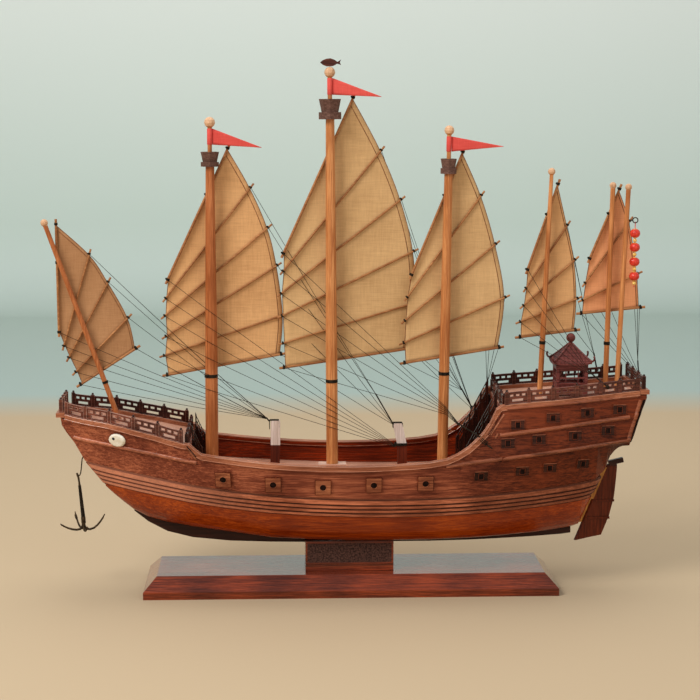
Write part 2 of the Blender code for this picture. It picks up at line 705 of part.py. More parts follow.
def cap_rails():
    for name, side in (("cap_rail_port", -1), ("cap_rail_starboard", 1)):
        line = [(cap_point(x, side), cap_depth(x)) for x in CAP_STATIONS]
        strip(name, line, "cap_light", (0, 1, 0), CAP_HALF)
    for name, x, end in (("cap_rail_bow", BOW_CAP_X, CAP_STATIONS[0]),
                         ("cap_rail_stern", STERN_CAP_X, CAP_STATIONS[-1])):
        wide = half_breadth(x, sheer_z(x)) + CAP_OVERHANG
        half = abs(x - end) - GLUE_GAP
        line = [((x, y, sheer_z(x) + END_RAIL_LIFT), CAP_THICK) for y in (-wide, wide)]
        strip(name, line, "cap_light", (1, 0, 0), half)


def along_line(line, share):
    """The point at a share of a polyline's length."""
    spans = [(Vector(b) - Vector(a)).length for a, b in zip(line, line[1:])]
    left = share * sum(spans)
    for (a, b), span in zip(zip(line, line[1:]), spans):
        if left <= span:
            return Vector(a).lerp(Vector(b), left / span)
        left -= span
    return Vector(line[-1])


def add_slots(bm, line, table, high):
    """Adds to a bmesh the cutters for the slots of a panel that stands on a line."""
    along = Vector(line[-1]) - Vector(line[0])
    across = Vector((-along.y, along.x, 0)).normalized() * 2 * RAIL_POST_HALF
    for start, end, low, top in table:
        outline = ((start, low), (end, low), (end, top), (start, top))
        corners = [along_line(line, share) + side + Vector((0, 0, GLUE_GAP + high * level))
                   for side in (-across, across) for share, level in outline]
        verts = [bm.verts.new(corner * MM) for corner in corners]
        for face in ((0, 1, 2, 3), (7, 6, 5, 4), (0, 4, 5, 1), (1, 5, 6, 2), (2, 6, 7, 3), (3, 7, 4, 0)):
            bm.faces.new([verts[i] for i in face])


def railing(name, line, post_at, table=RAIL_SLOTS, panel_high=RAIL_HIGH, look="dark_wood", collection=PARTS):
    """A railing as one body: a thin slotted panel with thicker, higher posts; line gives (x, y, z)."""
    rings = []
    post_high = panel_high + RAIL_POST_OVER

    def ring(point, along, half, high):
        across = Vector((-along.y, along.x, 0)).normalized() * half
        point = Vector(point)
        lift = GLUE_GAP if half == RAIL_POST_HALF else 2 * GLUE_GAP
        low, top = Vector((0, 0, lift)), Vector((0, 0, high))
        rings.append([point - across + low, point + across + low, point + across + top, point - across + top])

    last = len(line) - 1
    for i, point in enumerate(line):
        before, after = Vector(line[max(i - 1, 0)]), Vector(line[min(i + 1, last)])
        along = (after - before).normalized()
        if i not in post_at:
            ring(point, along, RAIL_HALF, panel_high)
            continue
        start = Vector(point) - along * RAIL_POST_HALF
        end = Vector(point) + along * RAIL_POST_HALF
        if i > 0:
            ring(start, along, RAIL_HALF, panel_high)
        ring(start, along, RAIL_POST_HALF, post_high)
        ring(end, along, RAIL_POST_HALF, post_high)
        if i < last:
            ring(end, along, RAIL_HALF, panel_high)
    obj = loft(name, rings, look, collection)
    cutters = bmesh.new()
    for start, end in zip(post_at, post_at[1:]):
        add_slots(cutters, line[start:end + 1], table, panel_high)
    boolean(obj, mesh_object(name + "_slots", cutters), "DIFFERENCE")
    return obj


def railings():
    for castle, posts in (("fore", FORE_POSTS_X), ("poop", POOP_POSTS_X)):
        for where, side in (("port", -1), ("starboard", 1)):
            between = [x for x in CAP_STATIONS if posts[0] < x < posts[-1]]
            stations = sorted(set(between) | set(posts))
            line = [cap_point(x, side, RAIL_INSET) for x in stations]
            railing("rail_" + castle + "_" + where, line, [stations.index(x) for x in posts])
    for name, x in (("rail_bow", BOW_CAP_X), ("rail_stern", STERN_CAP_X)):
        wide = cap_half(x) - 3.0
        line = [(x, wide * share, sheer_z(x) + END_RAIL_LIFT) for share in (-1, -0.34, 0.34, 1)]
        railing(name, line, range(4))
    for name, x in (("rail_fore_break", FORE_BREAK_RAIL_X), ("rail_poop_front", POOP_FRONT_RAIL_X)):
        wide = cap_half(x) * 0.86
        deck = seat(x, RAIL_POST_HALF) - GLUE_GAP
        line = [(x, wide * share, deck) for share in (-1, -0.5, 0, 0.5, 1)]
        railing(name, line, range(5))


def stairs():
    """Flights from the main deck to the castles, each with a slotted panel on its inner side."""
    for name, (x_low, x_high, count) in STAIR_FLIGHTS.items():
        past_top = x_high + math.copysign(STAIR_PAST, x_high - x_low)
        top = under_cap(past_top)
        floor = seat((x_low + x_high) / 2, abs(x_high - x_low) / 2)
        rise, run = (top - floor) / count, (x_high - x_low) / count
        for where, side in (("_port", -1), ("_starboard", 1)):
            inner, outer = (side * y for y in STAIR_SIDES)
            outline = [(x_high, floor), (x_low, floor)]
            for i in range(count):
                outline += [(x_low + run * i, floor + rise * (i + 1)),
                            (x_low + run * (i + 1), floor + rise * (i + 1))]
            flight = prism(name + where, outline, along_y, (inner, outer), "dark_wood")
            y = inner + side * (RAIL_POST_HALF + GLUE_GAP)
            line = [(x_low + run, y, floor + rise), (x_high - run / 2, y, top - rise / 2)]
            panel_name = name + where + "_panel"
            panel = railing(panel_name, line, (0, 1), STAIR_SLOTS, STAIR_PANEL_HIGH, None, CUTTERS)
            boolean(flight, panel, "UNION")


def sternpost():
    rings = []
    for x, z in (POST_FOOT, POST_HEAD):
        x += POST_CLEAR
        rings.append([(x, -POST_HALF, z), (x + POST_THICK, -POST_HALF, z),
                      (x + POST_THICK, POST_HALF, z), (x, POST_HALF, z)])
    loft("sternpost", rings, "cap_light")


def post_line(z):
    """Aft face of the sternpost at a height."""
    (x0, z0), (x1, z1) = POST_FOOT, POST_HEAD
    return x0 + POST_CLEAR + POST_THICK + (x1 - x0) * (z - z0) / (z1 - z0)


def rudder():
    """A flat blade with two bands across it, hinged along its straight leading edge."""
    hinge_x = post_line(RUDDER_HINGE_Z) + RUDDER_GAP + RUDDER_HALF
    origin = (hinge_x, 0.0, RUDDER_HINGE_Z)
    after_half = RUDDER_HALF * 0.8
    rings = []
    for z, chord, lift in RUDDER_CHORDS:
        x = post_line(z) + RUDDER_GAP
        ring = [(x + RUDDER_HALF * (1 - math.cos(a)), RUDDER_HALF * math.sin(a), z)
                for a in (-math.pi / 2, -math.pi / 4, 0.0, math.pi / 4, math.pi / 2)]
        ring += [(x + chord, after_half, z + lift), (x + chord, -after_half, z + lift)]
        ring.insert(0, (x + chord / 2, -RUDDER_HALF, z + lift / 2))
        rings.append(ring)
    blade = loft("rudder_blade", rings, "hull_brown", origin=origin)
    for k, (z, chord) in enumerate(RUDDER_BANDS):
        start, thick = post_line(z) + RUDDER_GAP + 2 * RUDDER_HALF, RUDDER_HALF + RUDDER_BAND_OUT
        band = box("rudder_band_%d" % k, (start, -thick, z - RUDDER_BAND_HALF),
                   (start + chord, thick, z + RUDDER_BAND_HALF), None, CUTTERS)
        boolean(blade, band, "UNION")

    bm = bmesh.new()
    (x0, z0), (x1, z1) = TILLER_START, TILLER_END
    rod(bm, (x0, 0, z0), (x1, 0, z1), TILLER_RADIUS, 10)
    bar = mesh_object("rudder_bar", bm, PARTS)
    finish(bar, "dark_wood")


def mast_axis(name):
    foot_x, head_x, head_z, y, foot_r = MASTS[name][:5]
    foot_z = seat(foot_x, foot_r)
    rake = abs(head_x - foot_x) / (head_z - foot_z)
    foot = Vector((foot_x, y, foot_z + foot_r * rake))
    head = Vector((head_x, y, head_z))
    return foot, head


def mast_x(name, z):
    foot, head = mast_axis(name)
    return foot.x + (head.x - foot.x) * (z - foot.z) / (head.z - foot.z)


def masts():
    for name, (_, _, _, _, foot_r, head_r, ball_r) in MASTS.items():
        foot, head = mast_axis(name)
        length = (head - foot).length
        top_r = TOPMAST_RADIUS if name in NESTS else head_r
        neck = math.asin(min(top_r / ball_r, 0.98))
        profile = ball(ball_r, length, 5, 0.0, math.pi - neck)
        if name in NESTS:
            step = (NESTS[name][0] - foot.z) * length / (head.z - foot.z) + NEST_SHOULDER
            profile += [(TOPMAST_RADIUS, step), (head_r, step)]
        profile += [(foot_r, length * STRAIGHT_SHARE), (foot_r, 0.0), (0.0, 0.0)]
        turned(name, profile, "spar_wood", foot, head - foot, 12)


def nests():
    for name, (low, shelf, top, block_r, tub_low_r, tub_r) in NESTS.items():
        foot, head = mast_axis(name)
        place = Vector((mast_x(name, low), foot.y, low))
        clear = 1 / math.cos(math.pi / NEST_SIDES)
        inner = (TOPMAST_RADIUS + GLUE_GAP) * clear
        bore = (MASTS[name][5] + GLUE_GAP) * clear
        floor = shelf - low + NEST_FLOOR
        profile = [
            (tub_r, top - low), (tub_low_r, shelf - low), (block_r, shelf - low), (block_r, 0.0),
            (bore, 0.0), (bore, NEST_SHOULDER + GLUE_GAP), (inner, NEST_SHOULDER + GLUE_GAP), (inner, floor),
            (tub_low_r - NEST_WALL, floor), (tub_r - NEST_WALL, top - low),
        ]
        turned("nest_" + name[-1], profile, "nest_grey", place, head - foot, NEST_SIDES)


def flags():
    half = FLAG_THICK / 2
    for name, (low, high, tip_x, tip_z) in FLAGS.items():
        start = max(mast_x(name, low), mast_x(name, high)) + TOPMAST_RADIUS + GLUE_GAP + 0.05
        outline = [(start, low), (start, high), (tip_x, tip_z)]
        prism("flag_" + name[-1], outline, along_y, (-half, half), "flag_red")


def fish():
    """Fish-shaped finial on the mainmast's ball."""
    head_x, head_z, ball_r = (MASTS["mast_3"][k] for k in (1, 2, 6))
    z = head_z + ball_r + GLUE_GAP - min(up for _, up in FISH_OUTLINE)
    curve = bpy.data.curves.new("fish_finial", "CURVE")
    curve.dimensions = "2D"
    curve.fill_mode = "BOTH"
    curve.extrude = FISH_HALF * MM
    curve.resolution_u = 1
    spline = curve.splines.new("POLY")
    spline.points.add(len(FISH_OUTLINE) - 1)
    for point, (x, up) in zip(spline.points, FISH_OUTLINE):
        point.co = (x * MM, up * MM, 0, 1)
    spline.use_cyclic_u = True
    obj = bpy.data.objects.new("fish_finial", curve)
    PARTS.objects.link(obj)
    obj.location = Vector((head_x, 0, z)) * MM
    obj.rotation_euler = (math.pi / 2, 0, 0)
    finish(obj, "dark_wood")


def sails():
    """Each sail: flat cloth with its yard, battens and boom, behind its mast."""
    for number, (mast, (yard, battens)) in enumerate(SAILS.items(), 1):
        foot_r = MASTS[mast][4]
        spar_y = foot_r + GLUE_GAP + SPAR_RADIUS
        cloth_y = spar_y + CLOTH_SET_BACK
        peak, throat = yard[:2], yard[2:]
        outline = [peak] + [b[2:] for b in battens] + [b[:2] for b in reversed(battens)] + [throat]
        half = CLOTH_THICK / 2
        name = "sail_%d" % number

        def braced(x, z, y):
            return Vector((x, y + SAIL_TURN * (x - mast_x(mast, z)), z))

        cloth = prism(name, outline, braced, (cloth_y - half, cloth_y + half), "sailcloth")

        bm = bmesh.new()
        for x0, z0, x1, z1 in (yard,) + battens:
            a, b = braced(x0, z0, spar_y), braced(x1, z1, spar_y)
            past = (b - a).normalized() * SPAR_SPARE
            rod(bm, a - past, b + past, SPAR_RADIUS, 6)
        boolean(cloth, mesh_object(name + "_spars", bm), "UNION")


def deck_gear():
    """Belaying posts and the mainmast's step on the main deck."""
    for number, levels in enumerate(BELAYING_POSTS, 1):
        foot_x, _, foot_half = levels[0]
        rings = []
        for x, z, half in levels:
            z = seat(foot_x, foot_half) if z is None else z
            rings.append([(x - half, -POST_DEPTH_HALF, z), (x + half, -POST_DEPTH_HALF, z),
                          (x + half, POST_DEPTH_HALF, z), (x - half, POST_DEPTH_HALF, z)])
        loft("belaying_post_%d" % number, rings, "cap_light")
    foot, _ = mast_axis("mast_3")
    long, deep = STEP_HALF
    floor = seat(foot.x, long)
    top = floor + STEP_HIGH
    step = box("mast_step", (foot.x - long, -deep, floor), (foot.x + long, deep, top), "cap_light")
    bore = MASTS["mast_3"][4] + STEP_PLAY
    profile = [(0, 2 * STEP_HIGH), (bore, 2 * STEP_HIGH), (bore, -STEP_HIGH), (0, -STEP_HIGH)]
    hole = turned("mast_step_hole", profile, None, (foot.x, 0, floor), (0, 0, 1), 16, CUTTERS)
    boolean(step, hole, "DIFFERENCE")


def pavilion():
    """Open pavilion on the poop, under a swept pyramid roof."""
    x, y = PAVILION
    wide, deep = PAVILION_HALF
    floor = seat(x, wide)
    top = floor + PAVILION_HIGH
    body = box("pavilion_body", (x - wide, y - deep, floor), (x + wide, y + deep, top), "dark_wood")
    room = (wide - PAVILION_WALL, deep - PAVILION_WALL)
    inside = box("pavilion_inside", (x - room[0], y - room[1], floor + PAVILION_WALL),
                 (x + room[0], y + room[1], top - PAVILION_WALL), None, CUTTERS)
    boolean(body, inside, "DIFFERENCE")
    sill, lintel = floor + PAVILION_SILL, floor + PAVILION_LINTEL
    for name, across, along in (("x", PAVILION_WINDOW[0], 2 * deep), ("y", 2 * wide, PAVILION_WINDOW[1])):
        low, high = (x - across, y - along, sill), (x + across, y + along, lintel)
        window = box("pavilion_windows_" + name, low, high, None, CUTTERS)
        boolean(body, window, "DIFFERENCE")

    eaves = top + GLUE_GAP
    rings = []
    for up, half, corner in ROOF_LEVELS:
        ring = []
        for k in range(8):
            angle = math.pi / 4 * k
            at_corner = k % 2 == 1
            reach = half * (math.sqrt(2) if at_corner else 1.0)
            ring.append((x + reach * math.cos(angle), y + reach * math.sin(angle) * ROOF_NARROW,
                         eaves + up + (corner if at_corner else 0.0)))
        rings.append(ring)
    turns = [math.pi / 4 * k for k in range(8)]
    for up, radius in ROOF_BALL:
        rings.append([(x + radius * math.cos(a), y + radius * math.sin(a), eaves + up) for a in turns])
    loft("pavilion_roof", rings, "dark_wood")


def eyes():
    """Oval ivory eyes on the bow, with a flat back."""
    for where, side in (("port", -1), ("starboard", 1)):
        frame = side_frame(*EYE_PLACE, side)
        seat_out = RIB_OUT + GLUE_GAP + FACET
        wide, high = EYE_HALF
        rings = []
        for out, size in EYE_RINGS:
            ring = []
            for k in range(16):
                angle = 2 * math.pi * k / 16
                spot = (wide * size * math.cos(angle), seat_out + out, high * size * math.sin(angle))
                ring.append(frame @ Vector(spot))
            rings.append(ring)
        loft("eye_" + where, rings, "ivory")


def anchor_arm(name, way, reach, height):
    """One curved arm of the anchor."""
    turn = Matrix.Rotation(math.radians(way), 3, "Z")
    crown = Vector(ANCHOR_PIVOT) + Vector((ANCHOR_CROWN[0], 0, ANCHOR_CROWN[1]))
    rings = []
    for out, rise, half, (facing_x, facing_z) in ARM_SECTIONS:
        centre = Vector((reach * out, 0, height * rise))
        up = Vector((facing_x, 0, facing_z)) * half
        aside = Vector((0, half, 0))
        corners = (centre - up - aside, centre - up + aside, centre + up + aside, centre + up - aside)
        rings.append([crown + turn @ corner for corner in corners])
    return loft(name, rings, None, CUTTERS)


def anchor():
    """Four-armed grapnel on its bent wire; it swings about the bead at the stem."""
    turned("anchor_eye", ball(ANCHOR_BEAD, 0.0, 6), "bronze", ANCHOR_PIVOT, (0, 0, 1), 10)
    px, py, pz = ANCHOR_PIVOT
    rings = []
    for x, z, radius in reversed(ANCHOR_SHANK):
        turns = [2 * math.pi * k / 8 for k in range(8)]
        rings.append([(px + x + radius * math.cos(a), py + radius * math.sin(a), pz + z) for a in turns])
    shank = loft("anchor", rings, "bronze", origin=ANCHOR_PIVOT)
    for k, arm in enumerate(ANCHOR_ARMS):
        boolean(shank, anchor_arm("anchor_arm_%d" % k, *arm), "UNION")


def lanterns():
    """Red lanterns and beads on one string, hung from a wire hook on the lantern pole."""
    pz = LANTERN_PIVOT[2]
    profile = [(0.0, -STRING_TOP), (STRING_RADIUS, -STRING_TOP)]
    beads = sorted([(z, LANTERN_RADIUS, LANTERN_HIGH) for z in LANTERN_Z] +
                   [(z, BEAD_RADIUS, BEAD_RADIUS) for z in BEAD_Z], reverse=True)
    for z, radius, high in beads:
        for k in range(1, 6):
            angle = math.pi * k / 6
            profile.append((radius * math.sin(angle), z - pz + high * math.cos(angle)))
        profile.append((STRING_RADIUS, z - pz - high))
    profile.append((0.0, beads[-1][0] - pz - beads[-1][2] - STRING_TAIL))
    profile.insert(2, (STRING_RADIUS, LANTERN_Z[0] - pz + LANTERN_HIGH + GLUE_GAP))
    turned("lantern_string", profile, "lantern_red", LANTERN_PIVOT, (0, 0, 1), 12)

    x0 = mast_x("lantern_pole", LANTERN_PIVOT[2]) + MASTS["lantern_pole"][5] + GLUE_GAP
    bm = bmesh.new()
    tip_x = LANTERN_PIVOT[0] - HOOK_BALL / 2
    rod(bm, (x0, LANTERN_PIVOT[1], pz), (tip_x, LANTERN_PIVOT[1], pz), HOOK_RADIUS, 6)
    arm = mesh_object("lantern_hook", bm, PARTS)
    finish(arm, "bronze")
    end = turned("lantern_hook_end", ball(HOOK_BALL, 0.0, 6), None, LANTERN_PIVOT, (0, 0, 1), 10, CUTTERS)
    boolean(arm, end, "UNION")


stand()
keel()
hull_bottom()
hull_middle()
castles()
main_deck()
bulwarks()
cap_rails()
railings()
stairs()
sternpost()
rudder()
masts()
nests()
flags()
fish()
sails()
deck_gear()
pavilion()
eyes()
anchor()
lanterns()
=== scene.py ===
# %% [markdown]
# # A six-masted junk as a wooden desk model
#
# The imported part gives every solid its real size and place. This script dresses it: each
# wood, cloth and metal gets its finish, and what is too fine for the solids is added, such
# as the sailcloth, the thread sheets, the window lattices and the roof tiles.
# Lengths are written in millimetres and become metres when a mesh is made. The bow points
# to -X, the stern to +X, starboard is +Y and up is +Z. The origin is under the stand.

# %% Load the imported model
import math

import bmesh
import bpy
from mathutils import Matrix, Vector, noise
from mathutils.bvhtree import BVHTree


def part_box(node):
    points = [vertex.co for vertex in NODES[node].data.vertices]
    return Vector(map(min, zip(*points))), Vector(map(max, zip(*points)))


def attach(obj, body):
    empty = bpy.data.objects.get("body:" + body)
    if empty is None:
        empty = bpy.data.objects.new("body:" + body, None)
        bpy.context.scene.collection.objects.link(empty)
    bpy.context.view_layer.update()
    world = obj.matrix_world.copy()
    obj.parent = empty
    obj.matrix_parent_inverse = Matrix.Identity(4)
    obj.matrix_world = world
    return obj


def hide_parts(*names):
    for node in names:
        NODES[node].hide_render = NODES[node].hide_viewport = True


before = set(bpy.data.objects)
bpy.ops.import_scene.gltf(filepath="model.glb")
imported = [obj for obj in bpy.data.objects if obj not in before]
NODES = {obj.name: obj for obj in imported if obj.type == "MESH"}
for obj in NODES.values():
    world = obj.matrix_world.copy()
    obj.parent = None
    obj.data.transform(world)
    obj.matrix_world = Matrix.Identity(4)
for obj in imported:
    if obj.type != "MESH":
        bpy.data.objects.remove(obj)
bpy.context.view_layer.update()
MM = 0.001
SIDES = (-1, 1)         # port, starboard


def new_object(name, data):
    """Puts an object with its data into the scene."""
    obj = bpy.data.objects.new(name, data)
    bpy.context.scene.collection.objects.link(obj)
    return obj


# %% [markdown]
# ## Camera
#
# The model is seen from 1.8 m away, from about the height of its tallest mast and through a
# long lens. The eye's place follows from how the stand's far edge rises and narrows behind
# its near edge, so the camera is set from measured numbers. A camera looks along its own
# -Z axis, so a turn of 90 degrees about X makes it level, and less than that tips it down.

# %% Camera
EYE = Vector((-70.0, -1798.6, 493.0))
TIPPED_DOWN = math.radians(7.91)
TURNED = math.radians(-2.23)
LENS = 92.57

camera = new_object("camera", bpy.data.cameras.new("camera"))
camera.data.lens = LENS
camera.location = EYE * MM
camera.rotation_euler = (math.pi / 2 - TIPPED_DOWN, 0, TURNED)
bpy.context.scene.camera = camera
print("camera", round(EYE.length * MM, 2), "m from the stand")

# %% [markdown]
# ## A language for node trees
#
# Materials and Geometry Nodes are both trees of nodes joined at sockets. Written out with
# nodes.new and links.new, even a short sum takes many lines. Here a Wire wraps one output
# socket and overloads + - * /, so that a sum reads as a sum and adds its own Math nodes.
# The one method node() makes any other node: its kind, its settings, then its inputs.

# %% Wires and trees


class Wire:
    """An output socket that can be used in sums; each operator adds a Math node."""

    def __init__(self, tree, socket):
        self.tree = tree
        self.socket = socket

    def math(self, operation, *others):
        """A Math node with this wire as its first value."""
        values = dict(enumerate((self, *others)))
        return self.tree.node("ShaderNodeMath", {"operation": operation}, values)

    def __add__(self, other):
        return self.math("ADD", other)

    def __sub__(self, other):
        return self.math("SUBTRACT", other)

    def __mul__(self, other):
        return self.math("MULTIPLY", other)

    def __truediv__(self, other):
        return self.math("DIVIDE", other)

    __radd__ = __add__


class Tree:
    """A node tree that is written as Python."""

    def __init__(self, tree):
        self.nodes = tree.nodes
        self.links = tree.links

    def node(self, kind, settings=None, values=None, output=0):
        """Adds a node, sets it up, joins its inputs and returns one output as a Wire."""
        node = self.nodes.new(kind)
        for key, value in (settings or {}).items():
            if key == "stops":
                set_stops(node.color_ramp, value)
            else:
                setattr(node, key, value)
        for key, value in (values or {}).items():
            self.plug(node.inputs[key], value)
        return Wire(self, node.outputs[output])

    def plug(self, socket, value):
        """Joins a wire to a socket, or sets the socket to a plain value."""
        if isinstance(value, Wire):
            self.links.new(value.socket, socket)
        else:
            socket.default_value = value


def set_stops(ramp, stops):
    """Gives a colour ramp its (position, colour) stops."""
    while len(ramp.elements) < len(stops):
        ramp.elements.new(1.0)
    for element, (position, colour) in zip(ramp.elements, stops):
        element.position = position
        element.color = (*colour, 1.0)


SHINE = 0.16            # how much a bare surface mirrors; oiled wood mirrors less than plastic


class Look(Tree):
    """A material. Its finish is set on the Principled shader's own sockets."""

    def __init__(self, name, **finish):
        self.material = bpy.data.materials.new(name)
        self.material.use_nodes = True
        super().__init__(self.material.node_tree)
        self.shader = self.nodes["Principled BSDF"]
        self.shader.inputs["Specular IOR Level"].default_value = SHINE
        self.place = self.node("ShaderNodeTexCoord", output="Object")
        self.finish(**finish)

    def finish(self, **sockets):
        """Sets shader sockets; base_color stands for Base Color, and so on."""
        for key, value in sockets.items():
            self.plug(self.shader.inputs[key.replace("_", " ").title()], value)

    def noise(self, size, detail=2.0, roughness=0.5, distortion=0.0):
        """Noise whose patches are about so big; size is one length or three, in millimetres."""
        sizes = size if isinstance(size, tuple) else (size, size, size)
        scale = tuple(1 / (s * MM) for s in sizes)
        spread = self.node("ShaderNodeMapping", None, {"Vector": self.place, "Scale": scale})
        return self.node("ShaderNodeTexNoise", None, {
            "Vector": spread, "Scale": 1.0, "Detail": detail, "Roughness": roughness,
            "Distortion": distortion})

    def ramp(self, factor, stops):
        """A colour read from (position, colour) stops."""
        return self.node("ShaderNodeValToRGB", {"stops": stops}, {0: factor})

    def blend(self, factor, first, second):
        """Mixes two colours; the Mix node keeps its colour sockets at 6 and 7."""
        first, second = ((*c, 1.0) if isinstance(c, tuple) else c for c in (first, second))
        return self.node("ShaderNodeMix", {"data_type": "RGBA"}, {0: factor, 6: first, 7: second}, 2)

    def step(self, value, start, end):
        """0 below start, 1 above end, and smooth between them."""
        values = {"Value": value, "From Min": start, "From Max": end}
        return self.node("ShaderNodeMapRange", {"interpolation_type": "SMOOTHSTEP"}, values)

    def along(self, axis):
        """One object coordinate, in millimetres."""
        return self.node("ShaderNodeSeparateXYZ", None, {0: self.place}, axis) * (1 / MM)

    def bump(self, height, strength, depth):
        """Dents the surface by a height from 0 to 1, so many millimetres deep."""
        self.finish(normal=self.node("ShaderNodeBump", None, {
            "Height": height, "Strength": strength, "Distance": depth * MM}))


print("node language ready")

# %% [markdown]
# ## Woods
#
# The hull is oiled red hardwood, the lower hull is polished brighter, the masts are pale
# orange dowel and the railings are stained nearly black. All are wood, so one function
# makes them: noise that is stretched along the grain gives the broad bands, finer noise the
# fibres, and round noise lets one plank end be darker than another. A picture of wood would
# be easier, but it would need unwrapping and would repeat. Noise on Object coordinates runs
# through the solid as real grain does.

# %% Wood
GRAIN_LONG, GRAIN_WIDE = 60.0, 1.9      # length and width of a streak of grain
FIBRE_SHARE = 3.5       # fibres are so many times finer than the bands
PATCH = 55.0
CONTRAST = 1.6
FIBRE_DEPTH = 0.12


def wood(name, dark, light, axis, rough, coat):
    """Wood between two colours, its grain along one axis (0, 1 or 2)."""
    look = Look(name, coat_weight=coat, coat_roughness=0.12)
    sizes = [GRAIN_LONG if k == axis else GRAIN_WIDE for k in range(3)]
    bands = look.noise(tuple(sizes), detail=4.0, roughness=0.6, distortion=0.7)
    fibres = look.noise(tuple(s / FIBRE_SHARE for s in sizes), detail=3.0, roughness=0.7)
    patches = look.noise(PATCH, detail=1.0)
    look.tone = (bands * 0.55 + fibres * 0.45 + patches * 0.35 - 0.675) * CONTRAST + 0.5
    middle = tuple((a * b) ** 0.5 for a, b in zip(dark, light))
    look.colour = look.ramp(look.tone, ((0.3, dark), (0.5, middle), (0.72, light)))
    look.finish(base_color=look.colour, roughness=rough + (fibres - 0.5) * 0.25)
    look.bump(fibres, 0.35, FIBRE_DEPTH)
    return look


# Name: darker colour, lighter colour, grain axis, roughness, coat
WOODS = {
    "stand_wood": ((0.060, 0.008, 0.002), (0.30, 0.045, 0.010), 0, 0.28, 1.0),
    "polished_hull": ((0.16, 0.016, 0.001), (0.49, 0.080, 0.005), 0, 0.30, 0.30),
    "red_hull": ((0.100, 0.018, 0.008), (0.47, 0.142, 0.064), 0, 0.46, 0.0),
    "stern_wood": ((0.030, 0.004, 0.001), (0.20, 0.035, 0.009), 0, 0.44, 0.0),
    "plate_wood": ((0.12, 0.028, 0.011), (0.44, 0.150, 0.064), 0, 0.46, 0.0),
    "inner_wood": ((0.060, 0.006, 0.001), (0.300, 0.027, 0.003), 0, 0.55, 0.0),
    "keel_wood": ((0.016, 0.004, 0.002), (0.050, 0.012, 0.006), 0, 0.40, 0.05),
    "cap_wood": ((0.17, 0.046, 0.018), (0.46, 0.165, 0.080), 0, 0.42, 0.05),
    "strake_wood": ((0.20, 0.058, 0.027), (0.60, 0.210, 0.110), 0, 0.40, 0.15),
    "dark_strake": ((0.09, 0.024, 0.009), (0.34, 0.100, 0.044), 0, 0.40, 0.05),
    "deck_wood": ((0.40, 0.170, 0.100), (0.70, 0.40, 0.28), 0, 0.36, 0.3),
    "mast_wood": ((0.36, 0.110, 0.028), (0.70, 0.30, 0.105), 2, 0.42, 0.08),
    "dark_mast_wood": ((0.28, 0.072, 0.017), (0.58, 0.205, 0.070), 2, 0.42, 0.08),
    "ball_wood": ((0.46, 0.24, 0.12), (0.78, 0.47, 0.27), 2, 0.45, 0.0),
    # pale painted reflection on the upper part of the belaying posts
    "post_highlight": ((0.46, 0.32, 0.24), (0.76, 0.61, 0.52), 2, 0.50, 0.0),
    "stained_post": ((0.045, 0.007, 0.003), (0.15, 0.022, 0.007), 2, 0.40, 0.0),
    "post_wood": ((0.26, 0.090, 0.014), (0.56, 0.250, 0.055), 2, 0.40, 0.1),
    "fret_wood": ((0.010, 0.003, 0.002), (0.085, 0.017, 0.008), 0, 0.34, 0.1),
    # fret_wood made lighter for the rails on the near side: painted light, the wood is the same as the far
    # rails'
    "lit_fret_wood": ((0.030, 0.007, 0.004), (0.20, 0.055, 0.030), 0, 0.34, 0.25),
    "stair_wood": ((0.008, 0.003, 0.002), (0.075, 0.014, 0.006), 2, 0.34, 0.1),
    "batten_wood": ((0.24, 0.085, 0.026), (0.50, 0.23, 0.085), 0, 0.50, 0.0),
    "nest_wood": ((0.070, 0.030, 0.020), (0.21, 0.110, 0.080), 0, 0.65, 0.0),
    "pavilion_wood": ((0.060, 0.013, 0.010), (0.270, 0.072, 0.056), 0, 0.40, 0.0),
    # painted highlights: paler woods for the rods on sharp edges, the dim one on the far and after rails
    "cap_edge_highlight": ((0.30, 0.100, 0.050), (0.60, 0.270, 0.160), 0, 0.30, 0.3),
    "edge_highlight_wood": ((0.17, 0.068, 0.045), (0.50, 0.29, 0.215), 0, 0.30, 0.5),
    "dim_edge_highlight": ((0.050, 0.016, 0.010), (0.26, 0.105, 0.070), 0, 0.30, 0.3),
    "panel_wood": ((0.014, 0.004, 0.002), (0.085, 0.022, 0.011), 0, 0.40, 0.0),
    "rudder_wood": ((0.045, 0.006, 0.001), (0.170, 0.026, 0.006), 2, 0.36, 0.05),
}
LOOKS = {name: wood(name, *row) for name, row in WOODS.items()}
STERN_FADE = (60, 190)  # between these places aft of the middle the woods darken


def two_woods(name, first, second, axis, start, end):
    """A wood that turns into another along an object axis, between two places."""
    look = wood(name, *WOODS[first])
    other = look.ramp(look.tone, ((0.3, WOODS[second][0]), (0.7, WOODS[second][1])))
    look.finish(base_color=look.blend(look.step(look.along(axis), start, end), look.colour, other))
    return look


LOOKS["red_hull"] = two_woods("red_hull_aft", "red_hull", "stern_wood", "X", *STERN_FADE)
# the strakes turn darker towards the stern
LOOKS["strake_wood"] = two_woods("strake_wood_aft", "strake_wood", "dark_strake", "X", *STERN_FADE)
print("woods:", ", ".join(LOOKS))

# %% Polish on the stand
# Two thin clear layers mirror the room at a flat angle and leave the slopes' colour deep
THIN_POLISH = {"IOR": 1.3, "Coat IOR": 1.3, "Specular IOR Level": 0.5}
for socket, value in THIN_POLISH.items():
    LOOKS["stand_wood"].shader.inputs[socket].default_value = value
print("polish:", THIN_POLISH)
